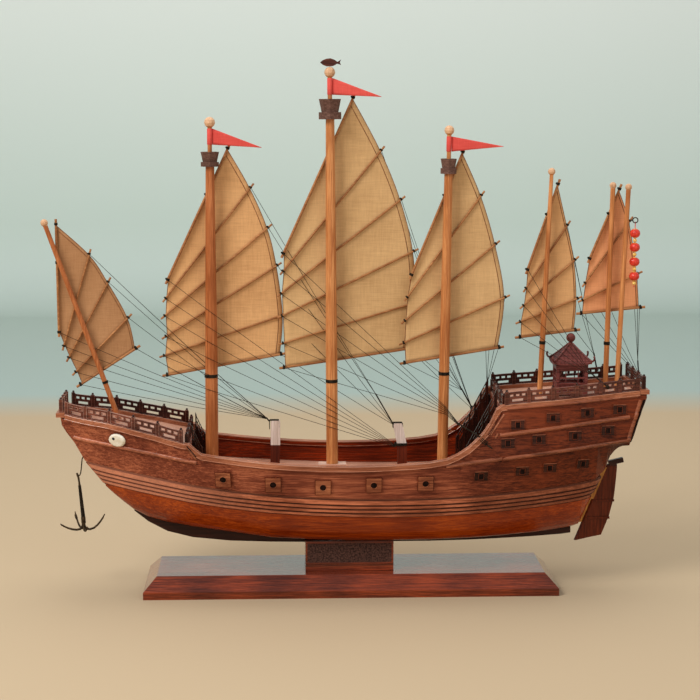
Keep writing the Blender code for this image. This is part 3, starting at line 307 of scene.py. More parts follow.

# %% [markdown]
# ## Wales
#
# Four heavy planks, the wales, run round the hull between the polished bottom and the red
# side. The grooves between them get painted shade, and the planks get a painted highlight
# towards the bow and turn darker towards the stern. The solids carry the wales' form, and
# their curve is a known parabola, so the material works out how high a point lies above it
# and paints shade where that is near one of the grooves. That follows the planks exactly
# and needs no picture.

# %% Wales
WALE_FOOT = 82.4        # height of the lowest groove amidships
WALE_RISE = 3.44e-4     # how it climbs towards bow and stern
WALE_MIDDLE = 42.6
WALE_GROOVES = (0.0, 4.2, 8.5, 12.8, 19.0)      # above the lowest
GROOVE_EDGE = (0.1, 1.6)                # from a groove's middle: all painted shade, none
BOW_FADE = (60, 210)                    # ahead of the middle the planks get a painted highlight
BOW_HIGHLIGHT, STERN_DARK = 0.45, 0.55       # how much painted highlight and darker colour, at the most

wales = wood("wale_wood", (0.20, 0.050, 0.020), (0.71, 0.228, 0.110), 0, 0.42, 0.05)
aft = wales.along("X") - WALE_MIDDLE
up = wales.along("Z") - WALE_FOOT - aft * aft * WALE_RISE
ridge = 1.0
for groove in WALE_GROOVES:
    ridge = wales.step((up - groove).math("ABSOLUTE"), *GROOVE_EDGE) * ridge
# darker towards the stern
plank_colour = wales.blend(wales.step(wales.along("X"), *STERN_FADE), wales.colour, (0.085, 0.020, 0.007))
plank_colour = wales.blend(STERN_DARK, wales.colour, plank_colour)
# painted highlight towards the bow
bow_highlight = wales.step(wales.along("X") * -1.0, *BOW_FADE) * BOW_HIGHLIGHT
plank_colour = wales.blend(bow_highlight, plank_colour, (0.70, 0.31, 0.19))
# painted shade in the grooves, lighter under the bow's painted highlight
groove_shade = wales.blend(bow_highlight, (0.075, 0.022, 0.012), (0.36, 0.13, 0.075))
wales.finish(base_color=wales.blend(ridge, groove_shade, plank_colour))
LOOKS["wale_wood"] = wales
print("grooves between the wales:", len(WALE_GROOVES))

# %% [markdown]
# ## Cloth
#
# The sails are tan linen. Linen threads are uneven, so from a step away one sees short
# streaks along both directions of the weave more than the weave itself. Two noises, one
# stretched along X and one along Z, make those streaks, and a product of two sine waves
# makes the over-and-under of the threads for a close look. The sails lie almost flat in
# the XZ plane, so their Object coordinates serve as the cloth's own.

# %% Woven cloth


def woven(name, thin, thick, pitch, depth, rough):
    """A plain weave; pitch is the distance between threads in millimetres."""
    look = Look(name, roughness=rough)
    turn = 2 * math.pi / pitch
    weave = (look.along("X") * turn).math("SINE") * (look.along("Z") * turn).math("SINE")
    flat_streaks = look.noise((16.0, 8.0, 1.1), 2.0, 0.6)
    upright_streaks = look.noise((1.1, 8.0, 16.0), 2.0, 0.6)
    age = look.noise(60.0, 2.0)
    tone = flat_streaks * 0.30 + upright_streaks * 0.26 + age * 0.34 + weave * 0.05 + 0.05
    look.finish(base_color=look.ramp(tone, ((0.28, thin), (0.72, thick))))
    look.bump(weave * 0.25 + flat_streaks * 0.4 + upright_streaks * 0.4, 0.5, depth)
    return look


# Name: colour of thin places, of thick places, distance of threads, depth, roughness
WEAVES = {
    "linen": ((0.450, 0.255, 0.104), (0.750, 0.468, 0.216), 0.9, 0.12, 0.92),
    "brown_linen": ((0.300, 0.134, 0.053), (0.522, 0.273, 0.124), 0.9, 0.12, 0.92),
    "gold_linen": ((0.470, 0.232, 0.090), (0.810, 0.452, 0.196), 0.9, 0.12, 0.92),
    "red_linen": ((0.540, 0.198, 0.076), (0.880, 0.392, 0.176), 0.9, 0.12, 0.92),
    "bunting": ((0.55, 0.048, 0.036), (0.86, 0.125, 0.098), 0.7, 0.08, 0.8),
}
for name, row in WEAVES.items():
    LOOKS[name] = woven(name, *row)
print("cloths:", ", ".join(WEAVES))

# %% [markdown]
# ## Thread, metal, ivory and lacquer
#
# The small things need small materials. Thread is nearly black and rough, with a slight
# change along it. The anchor is cast metal, browned in its hollows. The eyes are turned
# bone with faint cream clouds. Lantern silk and beads are lacquered, so they are glossy.

# %% Small finishes


def mottled(name, dark, light, size, rough, finish):
    """A finish that drifts between two colours and is a little uneven."""
    look = Look(name, **finish)
    cloud = look.noise(size, 3.0, 0.6)
    colour = look.ramp(cloud, ((0.35, dark), (0.65, light)))
    look.finish(base_color=colour, roughness=rough + (cloud - 0.5) * 0.3)
    look.bump(cloud, 0.2, 0.05)
    return look


# Name: darker colour, lighter colour, size of the clouds, roughness, other settings
SMALL = {
    "thread": ((0.008, 0.006, 0.004), (0.036, 0.026, 0.016), 2.5, 0.8, {}),
    "seam_thread": ((0.13, 0.045, 0.016), (0.30, 0.120, 0.045), 4.0, 0.8, {}),
    "bronze": ((0.014, 0.008, 0.004), (0.080, 0.050, 0.024), 5.0, 0.5, {"metallic": 0.4}),
    "ivory": ((0.70, 0.62, 0.46), (0.88, 0.83, 0.70), 6.0, 0.35, {"coat_weight": 0.3}),
    "pupil": ((0.004, 0.004, 0.004), (0.02, 0.02, 0.02), 2.0, 0.25, {"coat_weight": 0.5}),
    "lantern_silk": ((0.50, 0.020, 0.010), (0.82, 0.060, 0.030), 3.0, 0.35, {"coat_weight": 0.4}),
    "bead": ((0.70, 0.36, 0.06), (0.92, 0.62, 0.16), 2.0, 0.3, {"coat_weight": 0.4}),
    "matted_ground": ((0.020, 0.010, 0.008), (0.105, 0.048, 0.034), 1.6, 0.6, {}),
    # near black for painted shade: in the gunport bores, the window openings and thin lines along edges and
    # grooves
    "dark_inside": ((0.006, 0.003, 0.002), (0.02, 0.008, 0.006), 4.0, 0.7, {}),
}
for name, row in SMALL.items():
    LOOKS[name] = mottled(name, *row)
DULL = 0.05             # what a dull finish mirrors
for name in ("thread", "matted_ground", "dark_inside", "inner_wood", "bronze"):
    LOOKS[name].shader.inputs["Specular IOR Level"].default_value = DULL
print("finishes:", len(LOOKS))

# %% [markdown]
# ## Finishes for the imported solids
#
# Most solids already have the right shape, so they stay and only get a better material.
# The table says which finish each one wears. Masts have their grain upright, and their
# balls are paler wood, so a mast gets a finish of its own that turns pale above its neck.

# %% Dress the solids
DRESS = {
    "stand_wood": ("stand_base", "stand_pedestal"),
    "keel_wood": ("keel",),
    "polished_hull": ("hull_bottom",),
    "wale_wood": ("hull_middle",),
    "red_hull": ("forecastle", "sterncastle", "bulwark_port", "bulwark_starboard"),
    "post_wood": ("sternpost",),
    "cap_wood": ("cap_rail_port", "cap_rail_starboard", "cap_rail_bow", "cap_rail_stern"),
    "deck_wood": ("main_deck", "mast_step"),
    "fret_wood": ("rail_fore_starboard", "rail_poop_starboard", "rail_stern", "rail_fore_break",
                  "rail_poop_front", "rudder_bar"),
    # the near rails wear a lighter copy of fret_wood: painted light
    "lit_fret_wood": ("rail_fore_port", "rail_bow", "fish_finial", "rail_poop_port"),
    "stair_wood": ("stair_fore_port", "stair_fore_starboard", "stair_poop_port",
                   "stair_poop_starboard"),
    "rudder_wood": ("rudder_blade",),
    "nest_wood": ("nest_2", "nest_3", "nest_4"),
    "pavilion_wood": ("pavilion_body", "pavilion_roof"),
    "ivory": ("eye_port", "eye_starboard"),
    "bronze": ("anchor_eye", "anchor", "lantern_hook"),
    "lantern_silk": ("lantern_string",),
    "bunting": ("flag_2", "flag_3", "flag_4"),
    "linen": tuple("sail_%d" % k for k in range(1, 7)),
}


def dress(node, look):
    """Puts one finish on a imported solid."""
    slots = NODES[node].data.materials
    slots.clear()
    slots.append(look.material)


for finish, nodes in DRESS.items():
    for node in nodes:
        dress(node, LOOKS[finish])

MASTS = ("mast_1", "mast_2", "mast_3", "mast_4", "mast_5", "mast_6", "lantern_pole")
BALL_HEIGHT = {"mast_1": 7.0, "mast_2": 10.0, "mast_3": 10.0, "mast_4": 9.0}
SMALL_BALL = 6.5
DARK_MASTS = ("mast_1", "mast_2")
for mast in MASTS:
    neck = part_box(mast)[1].z / MM - BALL_HEIGHT.get(mast, SMALL_BALL)
    shaft = "dark_mast_wood" if mast in DARK_MASTS else "mast_wood"
    dress(mast, two_woods(mast + "_wood", shaft, "ball_wood", "Z", neck, neck + 1.0))

STAIN_TO_HIGHLIGHT = (146.2, 146.8)  # heights where the belaying posts' stain ends and a painted reflection covers their upper part
for post in ("belaying_post_1", "belaying_post_2"):
    dress(post, two_woods(post + "_wood", "stained_post", "post_highlight", "Z", *STAIN_TO_HIGHLIGHT))
print("dressed:", sum(len(nodes) for nodes in DRESS.values()), "solids,", len(MASTS), "masts, 2 posts")

# %% [markdown]
# ## Makers for meshes
#
# Every new piece starts as an empty bmesh in millimetres. Small functions add a tube along
# a path, a turned shape or a block to it. All round things are rings of points that are
# joined by faces, so they share one function. piece() turns the bmesh into an object: it
# merges doubles, turns faces outwards, scales to metres, adds the finish and makes the
# piece ride on a body of the model. The object itself stays at the origin, unturned, so
# that a pattern on Object coordinates keeps its place when the model is exported.

# %% Mesh makers


def circle(count):
    """Cosine and sine of evenly spaced angles."""
    angles = [2 * math.pi * k / count for k in range(count)]
    return [(math.cos(a), math.sin(a)) for a in angles]


def add_rings(bm, rings, closed=False):
    """Joins rings of points by faces, and caps the ends or joins them; an end may be a point."""
    rings = [[bm.verts.new(point) for point in ring] for ring in rings]
    if closed:
        rings.append(rings[0])
    for ring, after in zip(rings, rings[1:]):
        count = max(len(ring), len(after))
        for k in range(count):
            j = (k + 1) % count
            corners = [ring[k % len(ring)], ring[j % len(ring)]]
            corners += [after[j % len(after)], after[k % len(after)]]
            bm.faces.new(list(dict.fromkeys(corners)))
    for ring in (rings[0][::-1], rings[-1]):
        if len(ring) > 1 and not closed:
            bm.faces.new(ring)


def add_grid(bm, rows):
    """Joins rows of points into an open sheet."""
    rows = [[bm.verts.new(point) for point in row] for row in rows]
    for row, after in zip(rows, rows[1:]):
        for i in range(len(row) - 1):
            bm.faces.new((row[i], after[i], after[i + 1], row[i + 1]))


def add_tube(bm, path, radius, sides=8):
    """Adds a closed tube along a path; radius is one value or one for each point."""
    points = [Vector(p) for p in path]
    radii = radius if isinstance(radius, list) else [radius] * len(points)
    rings, across = [], None
    for i, point in enumerate(points):
        along = (points[min(i + 1, len(points) - 1)] - points[max(i - 1, 0)]).normalized()
        across = along.orthogonal() if across is None else across - along * across.dot(along)
        across.normalize()
        up = along.cross(across)
        rings.append([point + (across * c + up * s) * radii[i] for c, s in circle(sides)])
    add_rings(bm, rings)


def add_ring(bm, centre, axis, radius, thread, steps, sides):
    """Adds a closed ring of thread or wire."""
    turn = Vector(axis).to_track_quat("Z", "Y").to_matrix()
    rings = []
    for x, y in circle(steps):
        out, up = Vector((x, y, 0)), Vector((0, 0, thread))
        spots = [out * (radius + thread * c) + up * s for c, s in circle(sides)]
        rings.append([Vector(centre) + turn @ spot for spot in spots])
    add_rings(bm, rings, closed=True)


def add_turned(bm, profile, foot=(0, 0, 0), axis=(0, 0, 1), sides=16):
    """Adds a turned solid from (radius, height) points; its ends close at a point."""
    turn = Vector(axis).to_track_quat("Z", "Y").to_matrix()
    rings = [[(radius * c, radius * s, height) for c, s in circle(sides)] for radius, height in profile]
    rings = [[(0, 0, profile[0][1])], *rings, [(0, 0, profile[-1][1])]]
    add_rings(bm, [[Vector(foot) + turn @ Vector(spot) for spot in ring] for ring in rings])


def add_block(bm, centre, size, turn=None, bevel=0.0):
    """Adds a box with eased edges; turn is a rotation matrix."""
    place = Matrix.Translation(centre) @ (turn or Matrix()).to_4x4() @ Matrix.Diagonal((*size, 1))
    made = bmesh.ops.create_cube(bm, size=1.0, matrix=place)
    if bevel:
        edges = list({edge for vert in made["verts"] for edge in vert.link_edges})
        bmesh.ops.bevel(bm, geom=edges, offset=bevel, segments=2, affect="EDGES", profile=0.5)


def show(name, mesh, body, smooth=None):
    """Shows a finished mesh as a piece that rides on a body."""
    obj = new_object(name, mesh)
    if smooth is not None:
        mesh.shade_smooth()
        mesh.set_sharp_from_angle(angle=math.radians(smooth))
    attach(obj, body)
    return obj


def to_mesh(name, bm, closed=True):
    """Turns a bmesh in millimetres into a mesh in metres; closed ones turn their faces out."""
    bmesh.ops.remove_doubles(bm, verts=bm.verts, dist=0.002)
    if closed:
        bmesh.ops.recalc_face_normals(bm, faces=bm.faces)
    bm.transform(Matrix.Scale(MM, 4))
    mesh = bpy.data.meshes.new(name)
    bm.to_mesh(mesh)
    bm.free()
    return mesh


def piece(name, bm, finish, body="ship", smooth=None, closed=True):
    """Turns a bmesh in millimetres into a piece of the model."""
    mesh = to_mesh(name, bm, closed)
    mesh.materials.append(LOOKS[finish].material)
    return show(name, mesh, body, smooth)


def thicken(cloth, thick):
    """Gives a flat piece its thickness and a smooth surface."""
    cloth.data.shade_smooth()
    wall = cloth.modifiers.new("thickness", "SOLIDIFY")
    wall.thickness = thick * MM
    wall.offset = 0.0


def skin(*names):
    """A search tree over some solids' faces, for finding surfaces by casting rays."""
    verts, faces = [], []
    for name in names:
        base = len(verts)
        verts += [v.co / MM for v in NODES[name].data.vertices]
        faces += [[base + i for i in p.vertices] for p in NODES[name].data.polygons]
    return BVHTree.FromPolygons(verts, faces)


print("mesh makers ready")

# %% [markdown]
# ## Makers for Geometry Nodes
#
# Many parts repeat: rods and threads that follow lines, and small patterns that sit on
# points. Each has one Geometry Nodes tree. The first turns every edge of a mesh into a
# round rod. The second puts a pattern on every vertex, turned by the vertex's own "turn"
# attribute. A tree ends in Realize Instances and Set Material, and the result is then kept
# as a plain mesh, because instances would be lost when the model is exported.

# %% Geometry Nodes makers


def new_tree(name, **inputs):
    """A Geometry Nodes tree with named inputs, as (tree, wires of its inputs)."""
    group = bpy.data.node_groups.new(name, "GeometryNodeTree")
    group.interface.new_socket("Geometry", in_out="INPUT", socket_type="NodeSocketGeometry")
    for label, kind in inputs.items():
        group.interface.new_socket(label, in_out="INPUT", socket_type="NodeSocket" + kind)
    group.interface.new_socket("Geometry", in_out="OUTPUT", socket_type="NodeSocketGeometry")
    tree = Tree(group)
    tree.group = group
    source = tree.nodes.new("NodeGroupInput")
    return tree, {socket.name: Wire(tree, socket) for socket in source.outputs if socket.name}


def end_tree(tree, geometry, look):
    """Ends a tree in real geometry with a material."""
    real = tree.node("GeometryNodeRealizeInstances", None, {0: geometry})
    done = tree.node("GeometryNodeSetMaterial", None, {"Geometry": real, "Material": look})
    tree.plug(tree.nodes.new("NodeGroupOutput").inputs[0], done)
    return tree.group


rods, given = new_tree("rods_on_edges", Radius="Float", Sides="Int", Finish="Material")
line = rods.node("GeometryNodeMeshToCurve", None, {"Mesh": given["Geometry"]})
profile = rods.node("GeometryNodeCurvePrimitiveCircle", None, {
    "Resolution": given["Sides"], "Radius": given["Radius"]})
round_rod = rods.node("GeometryNodeCurveToMesh", None, {
    "Curve": line, "Profile Curve": profile, "Fill Caps": True})
RODS = end_tree(rods, round_rod, given["Finish"])

spots, given = new_tree("pattern_on_points", Pattern="Object", Finish="Material")
turn = spots.node("GeometryNodeInputNamedAttribute", {"data_type": "FLOAT_VECTOR"}, {"Name": "turn"})
rotation = spots.node("FunctionNodeEulerToRotation", None, {0: turn})
size = spots.node("GeometryNodeInputNamedAttribute", {"data_type": "FLOAT"}, {"Name": "size"})
pattern = spots.node("GeometryNodeObjectInfo", None, {"Object": given["Pattern"]}, "Geometry")
copies = spots.node("GeometryNodeInstanceOnPoints", None, {
    "Points": given["Geometry"], "Instance": pattern, "Rotation": rotation, "Scale": size})
SPOTS = end_tree(spots, copies, given["Finish"])


ROUND = 40              # degrees; a grown piece is smooth over flatter corners than this


def grown(name, source, group, inputs, body="ship"):
    """Runs a tree on a mesh and keeps the outcome as a plain piece."""
    carrier = new_object(name + "_source", source)
    modifier = carrier.modifiers.new("grow", "NODES")
    modifier.node_group = group
    for item in group.interface.items_tree:
        if item.in_out == "INPUT" and item.name in inputs:
            modifier[item.identifier] = inputs[item.name]
    carrier.update_tag()
    graph = bpy.context.evaluated_depsgraph_get()
    mesh = bpy.data.meshes.new_from_object(carrier.evaluated_get(graph))
    bpy.data.objects.remove(carrier)
    bm = bmesh.new()
    bm.from_mesh(mesh)
    bmesh.ops.recalc_face_normals(bm, faces=bm.faces)
    bm.to_mesh(mesh)
    bm.free()
    mesh.name = name
    return show(name, mesh, body, ROUND)


def rods_along(name, paths, radius, finish, body="ship", sides=8):
    """Round rods or threads along paths in millimetres."""
    verts, edges = [], []
    for path in paths:
        edges += [(len(verts) + i, len(verts) + i + 1) for i in range(len(path) - 1)]
        verts += [Vector(p) * MM for p in path]
    mesh = bpy.data.meshes.new(name + "_lines")
    mesh.from_pydata(verts, edges, [])
    inputs = {"Radius": radius * MM, "Sides": sides, "Finish": LOOKS[finish].material}
    return grown(name, mesh, RODS, inputs, body)


def patterns_at(name, places, bm, finish):
    """Copies of a pattern at (point, rotation matrix, size) places, in millimetres."""
    model = bpy.data.objects.new(name + "_pattern", to_mesh(name + "_pattern", bm))
    mesh = bpy.data.meshes.new(name + "_points")
    mesh.from_pydata([Vector(point) * MM for point, _, _ in places], [], [])
    mesh.attributes.new("turn", "FLOAT_VECTOR", "POINT")
    mesh.attributes.new("size", "FLOAT", "POINT")
    for i, (_, matrix, scale) in enumerate(places):
        mesh.attributes["turn"].data[i].vector = matrix.to_euler()
        mesh.attributes["size"].data[i].value = scale
    grown(name, mesh, SPOTS, {"Pattern": model, "Finish": LOOKS[finish].material})
    bpy.data.objects.remove(model)


def facing(out, up=(0, 0, 1)):
    """A rotation whose Y points out of a surface and whose Z points as far up as it can."""
    y = Vector(out).normalized()
    z = (Vector(up) - y * y.dot(Vector(up))).normalized()
    return Matrix((y.cross(z), y, z)).transposed()


print("trees:", RODS.name, "and", SPOTS.name)

# %% [markdown]
# ## Masts and spars
#
# Each sail hangs behind its mast, laced to a slanting yard at the top, to bamboo battens
# across it and to a boom at its foot. The battens fan out, so their ends are a table: for
# each spar the luff end, at the fore edge, and the leech end, at the after edge. A sail is
# braced a little to starboard, which moves a point sideways by its distance aft of the
# mast. The masts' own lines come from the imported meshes.

# %% Spars
SPAR_RADIUS = 1.3
BATTEN_RADIUS = 1.0
SPAR_SPARE = 6.5        # a spar's end past the cloth
SAIL_TURN = 0.07        # how far to starboard for each millimetre aft of the mast
MAST_GAP = 0.3          # between mast and spars
# Mast, its foot's radius, then the spars from the yard down to the boom: luff x, z, leech x, z
SAILS = (
    ("mast_1", 2.6, ((-292, 264, -293, 369), (-287, 250, -261, 339), (-282, 238, -243, 311),
                     (-275, 223, -224, 275), (-270, 210, -217, 244))),
    ("mast_2", 6.4, ((-182, 316, -122, 444), (-184, 297, -100, 405), (-185, 279, -83, 365),
                     (-184, 258, -74, 327), (-186, 238, -68, 277), (-183, 218, -71, 237))),
    ("mast_3", 5.9, ((-66, 342, 3, 494), (-66, 324, 31, 442), (-68, 301, 51, 393), (-67, 278, 64, 341),
                     (-66, 250, 66, 289), (-65, 225, 59, 242))),
    ("mast_4", 5.3, ((63, 320, 113, 440), (59, 297, 132, 397), (57, 273, 147, 348),
                     (56, 250, 157, 294), (57, 229, 151, 243))),
    ("mast_5", 2.8, ((180, 325, 209, 408), (179, 306, 219, 367), (177, 288, 227, 332),
                     (174, 271, 230, 293), (174, 255, 228, 261))),
    ("mast_6", 2.7, ((243, 336, 271, 403), (239, 311, 282, 371), (237, 293, 291, 318),
                     (236, 279, 294, 284))),
)


FOOT_SLICE = 2.0        # the lowest part of a mast, whose corners' mean is its foot
CLEAR = 60              # where a ray to a mast starts, from its axis


def mast_axis(mast):
    """Foot and head of a mast's axis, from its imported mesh."""
    spots = sorted((v.co / MM for v in NODES[mast].data.vertices), key=lambda p: p.z)
    low = [p for p in spots if p.z < spots[0].z + FOOT_SLICE]
    return sum(low, Vector()) / len(low), spots[-1]


AXES = {mast: mast_axis(mast) for mast in MASTS}
SKINS = {mast: skin(mast) for mast in MASTS}


def mast_at(mast, z):
    """The point on a mast's axis at a height."""
    foot, head = AXES[mast]
    return foot + (head - foot) * (z - foot.z) / (head.z - foot.z)


def mast_radius(mast, z):
    """A mast's radius at a height, found by looking at it from port."""
    axis = mast_at(mast, z)
    found = SKINS[mast].ray_cast(axis - Vector((0, CLEAR, 0)), Vector((0, 1, 0)))[0]
    return axis.y - found.y


def crossing(mast, start, end):
    """The share of the way from start to end where a line crosses a mast, seen from the side."""
    foot, head = AXES[mast]
    across = Vector((head.z - foot.z, 0, foot.x - head.x))
    return (foot - start).dot(across) / (end - start).dot(across)


def braced(sail, x, z, back=0.0):
    """A point on a sail's spars, or so far behind them."""
    mast, foot_radius, _ = sail
    spar_y = foot_radius + MAST_GAP + SPAR_RADIUS
    return Vector((x, spar_y + back + SAIL_TURN * (x - mast_at(mast, z).x), z))


def spar_ends(sail, back=0.0):
    """(luff end, leech end) of each spar of a sail, from the yard to the boom."""
    return [(braced(sail, a, b, back), braced(sail, c, d, back)) for a, b, c, d in sail[2]]


for number, sail in enumerate(SAILS, 1):
    paths = []
    for luff, leech in spar_ends(sail):
        past = (leech - luff).normalized() * SPAR_SPARE
        paths.append((luff - past, leech + past))
    name = "sail_%d" % number
    rods_along(name + "_spars", (paths[0], paths[-1]), SPAR_RADIUS, "batten_wood")
    rods_along(name + "_battens", paths[1:-1], BATTEN_RADIUS, "batten_wood")
print("spars:", sum(len(sail[2]) for sail in SAILS))

# %% [markdown]
# ## Sails
#
# A lug sail is one cloth, cut flat and held flat by its battens, with a slight hollow
# between each pair. It could be simulated, but cloth that is stretched on several rods
# barely moves, so a grid does as well: its rows run from luff to leech, each panel between two
# spars is a few rows deep, and the belly is a product of two arches. A trace of noise keeps
# the panels from being too even. Solidify gives the cloth its thickness.

# %% Sailcloth
PANEL_ROWS = 6
ACROSS = 24
BELLY = 1.5             # depth of the hollow in a panel
CREASE = 0.22           # depth of the uneven places
CREASE_SIZE = 14
CLOTHS = ("brown_linen", "gold_linen", "linen", "linen", "gold_linen", "red_linen")
CLOTH_THICK = 0.35
CLOTH_BACK = SPAR_RADIUS + 0.25     # how far the cloth lies behind the spars
HEM = 0.965             # how far towards the leech the hem's seam runs
SEAM_RADIUS = 0.35


def through_points(points, k, t):
    """A smooth curve through points, at a share t of the way from point k to the next."""
    last = len(points) - 1
    before, a, b, after = (points[min(max(i, 0), last)] for i in (k - 1, k, k + 1, k + 2))
    return 0.5 * (2 * a + (b - before) * t + (2 * before - 5 * a + 4 * b - after) * t**2
                  + (3 * a - before - 3 * b + after) * t**3)


def flat_area(outline):
    """Area inside an (x, z) outline."""
    pairs = zip(outline, outline[1:] + outline[:1])
    return abs(sum(a[0] * b[1] - b[0] * a[1] for a, b in pairs)) / 2


def cloth_point(sail, k, t, s):
    """A point of the cloth: panel k, share t down it and share s from luff to leech."""
    ends = spar_ends(sail, CLOTH_BACK)
    luff = ends[k][0].lerp(ends[k + 1][0], t)
    leech = through_points([end[1] for end in ends], k, t)
    spot = luff.lerp(leech, s)
    spot.y += BELLY * math.sin(math.pi * t) * (4 * s * (1 - s)) ** 0.5
    spot.y += CREASE * noise.noise(spot / CREASE_SIZE)
    return spot


for number, sail in enumerate(SAILS, 1):
    panels = len(sail[2]) - 1
    levels = [(k, row / PANEL_ROWS) for k in range(panels) for row in range(PANEL_ROWS)]
    levels.append((panels - 1, 1.0))
    bm = bmesh.new()
    add_grid(bm, [[cloth_point(sail, k, t, i / ACROSS) for i in range(ACROSS + 1)] for k, t in levels])
    cloth = piece("sail_%d_cloth" % number, bm, CLOTHS[number - 1], closed=False)
    thicken(cloth, CLOTH_THICK)

    leech_rope, luff_rope = ([cloth_point(sail, k, t, s) for k, t in levels] for s in (1.0, 0.0))
    hem = [cloth_point(sail, k, t, HEM) - Vector((0, SEAM_RADIUS, 0)) for k, t in levels]
    paths = (hem, leech_rope, luff_rope)
    seams = rods_along("sail_%d_hem" % number, paths, SEAM_RADIUS, "seam_thread", sides=6)
    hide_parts("sail_%d" % number)

    outline = [spar[:2] for spar in sail[2]] + [spar[2:] for spar in reversed(sail[2])]
    wide, tall = (max(p[i] for p in outline) - min(p[i] for p in outline) for i in (0, 1))
    wide * MM
    tall * MM
    flat_area(outline) * MM * MM
    print("sail", number, "is", wide, "by", tall, "mm")

# %% [markdown]
# ## Lashings
#
# Black thread ties every spar's end to the cloth, and each yard and boom to the mast. Up
# close a lashing is a few turns side by side with a knot on top. One lashing is modelled
# and the points tree copies it to every end, turned along its spar.

# %% Lashings
LASHING_TURNS = 4
TURN_APART = 0.62
LASHING_KNOT = ((0.7, -0.7), (1.0, -0.2), (0.9, 0.4), (0.4, 0.8))


def lashing():
    """A few turns of thread round a spar that lies along Y, with a knot."""
    bm = bmesh.new()
    for k in range(LASHING_TURNS):
        y = (k - (LASHING_TURNS - 1) / 2) * TURN_APART
        add_ring(bm, (0, y, 0), (0, 1, 0.06), SPAR_RADIUS + 0.25, 0.36, 12, 5)
    add_turned(bm, LASHING_KNOT, (0, 0, SPAR_RADIUS + 0.7), (0, 0.3, 1), 8)
    return bm


def along_spar(direction):
    """A rotation whose Y runs along a direction."""
    y = Vector(direction).normalized()
    x = y.cross(Vector((0, 0, 1))).normalized()
    return Matrix((x, y, x.cross(y))).transposed()


TIE_OUT = 1.6           # past the cloth's edge
YARD_TIE = 0.65         # share of the way up a yard where it is tied to the mast's side
places = []
for sail in SAILS:
    ends = spar_ends(sail)
    for luff, leech in ends:
        along = (leech - luff).normalized()
        size = 1.0 if (luff, leech) in (ends[0], ends[-1]) else BATTEN_RADIUS / SPAR_RADIUS
        places.append((luff - along * TIE_OUT, along_spar(-along), size))
        places.append((leech + along * TIE_OUT, along_spar(along), size))
    luff, leech = ends[0]
    places.append((luff.lerp(leech, YARD_TIE), along_spar(leech - luff), 1.0))
patterns_at("spar_lashings", places, lashing(), "thread")
print("lashings:", len(places))

# %% Lashings round the masts
# Mast, height, number of turns
MAST_TIES = (("mast_1", 212, 3), ("mast_2", 218, 4), ("mast_3", 212, 4), ("mast_4", 219, 4),
             ("mast_5", 250, 4), ("mast_6", 249, 4))
MAST_TURN_APART = 0.8
bm = bmesh.new()
for mast, z, turns in MAST_TIES:
    foot, head = AXES[mast]
    for k in range(turns):
        level = z + (k - turns / 2) * MAST_TURN_APART
        around = mast_radius(mast, level) + 0.25
        add_ring(bm, mast_at(mast, level), head - foot, around, 0.5, 24, 6)
piece("mast_lashings", bm, "thread", smooth=50)
print("lashed masts:", len(MAST_TIES))

# %% [markdown]
# ## Sheets
#
# From each batten's end a thread runs down to a belaying point: the two posts amidships,
# the slopes of the cap rail, the poop's front and the after rail. Each is nearly straight,
# with a slight sag, so it is a parabola between two points. A thread from a luff that has
# to cross in front of a mast bears against it, so its path bends there.

# %% Threads
THREAD_RADIUS = 0.26
SAG = 0.008             # of a thread's length
THREAD_STEPS = 14
BEARING = (-2.0, 0.0, 2.0)      # a thread lies against a mast between these places
BEARING_GAP = 0.1


def sagging(start, end, by=SAG):
    """Points from start to end with a slight sag."""
    start, end = Vector(start), Vector(end)
    drop = (end - start).length * by
    points = []
    for i in range(THREAD_STEPS + 1):
        t = i / THREAD_STEPS
        points.append(start.lerp(end, t) - Vector((0, 0, 4 * drop * t * (1 - t))))
    return points


def round_masts(start, end, masts):
    """Points from start to end that pass close in front of some masts."""
    start, end = Vector(start), Vector(end)
    path = [start]
    for mast in masts:
        share = crossing(mast, start, end)
        spot = start.lerp(end, share)
        near = mast_at(mast, spot.z).y - mast_radius(mast, spot.z) - THREAD_RADIUS - BEARING_GAP
        for step in BEARING:
            point = start.lerp(end, share + step / (end.x - start.x))
            path.append(Vector((point.x, near, point.z)))
    path.append(end)
    return path


POST_1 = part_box("belaying_post_1")
POST_2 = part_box("belaying_post_2")
POST_1_TOP = Vector((POST_1[0].x / MM - 0.5, 0, POST_1[1].z / MM - 1.0))
POST_2_TOP = Vector((POST_2[0].x / MM - 0.2, 0, POST_2[1].z / MM - 1.0))
POST_2_BAND = Vector((POST_2[0].x / MM + 2.4, -4.2, 145.5))
PORT_SLOPE = Vector((126.2, -65.0, 164.4))
STARBOARD_SLOPE = Vector((130.5, 62.0, 173.0))
POOP_CORNER = Vector((146.0, 60.0, 199.0))
PORT_RAIL = Vector((253.5, -51.0, 211.6))
STARBOARD_RAIL = Vector((260.0, 49.0, 214.0))
AFTER_RAIL = Vector((298.0, 20.0, 214.0))
# Where threads come together before they are made fast, and the thicker cord from there on
GATHER_1 = Vector((-85.0, 0, 174.5))
GATHER_2 = Vector((26.0, 0, 198.0))
GATHER_3 = Vector((105.2, -58.0, 176.9))
GATHER_4 = Vector((119.5, 60.0, 193.0))
GATHER_5 = Vector((256.0, 47.0, 232.0))
GATHER_6 = Vector((296.5, 18.0, 228.0))
GATHER_7 = Vector((236.5, -44.0, 225.3))
CORDS = ((GATHER_1, POST_1_TOP), (GATHER_2, POST_2_TOP), (GATHER_3, PORT_SLOPE), (GATHER_4, STARBOARD_SLOPE),
         (GATHER_5, STARBOARD_RAIL), (GATHER_6, AFTER_RAIL), (GATHER_7, PORT_RAIL))
CORD_RADIUS = 0.75
RAIL_STEP = 8.7         # between threads that are made fast side by side on the stern rail
POST_STEP = 0.35        # between threads that are made fast below each other on a post
TIE_PORT, TIE_STARBOARD = -SPAR_RADIUS - 0.4, SPAR_RADIUS + 2.4     # where they leave a spar

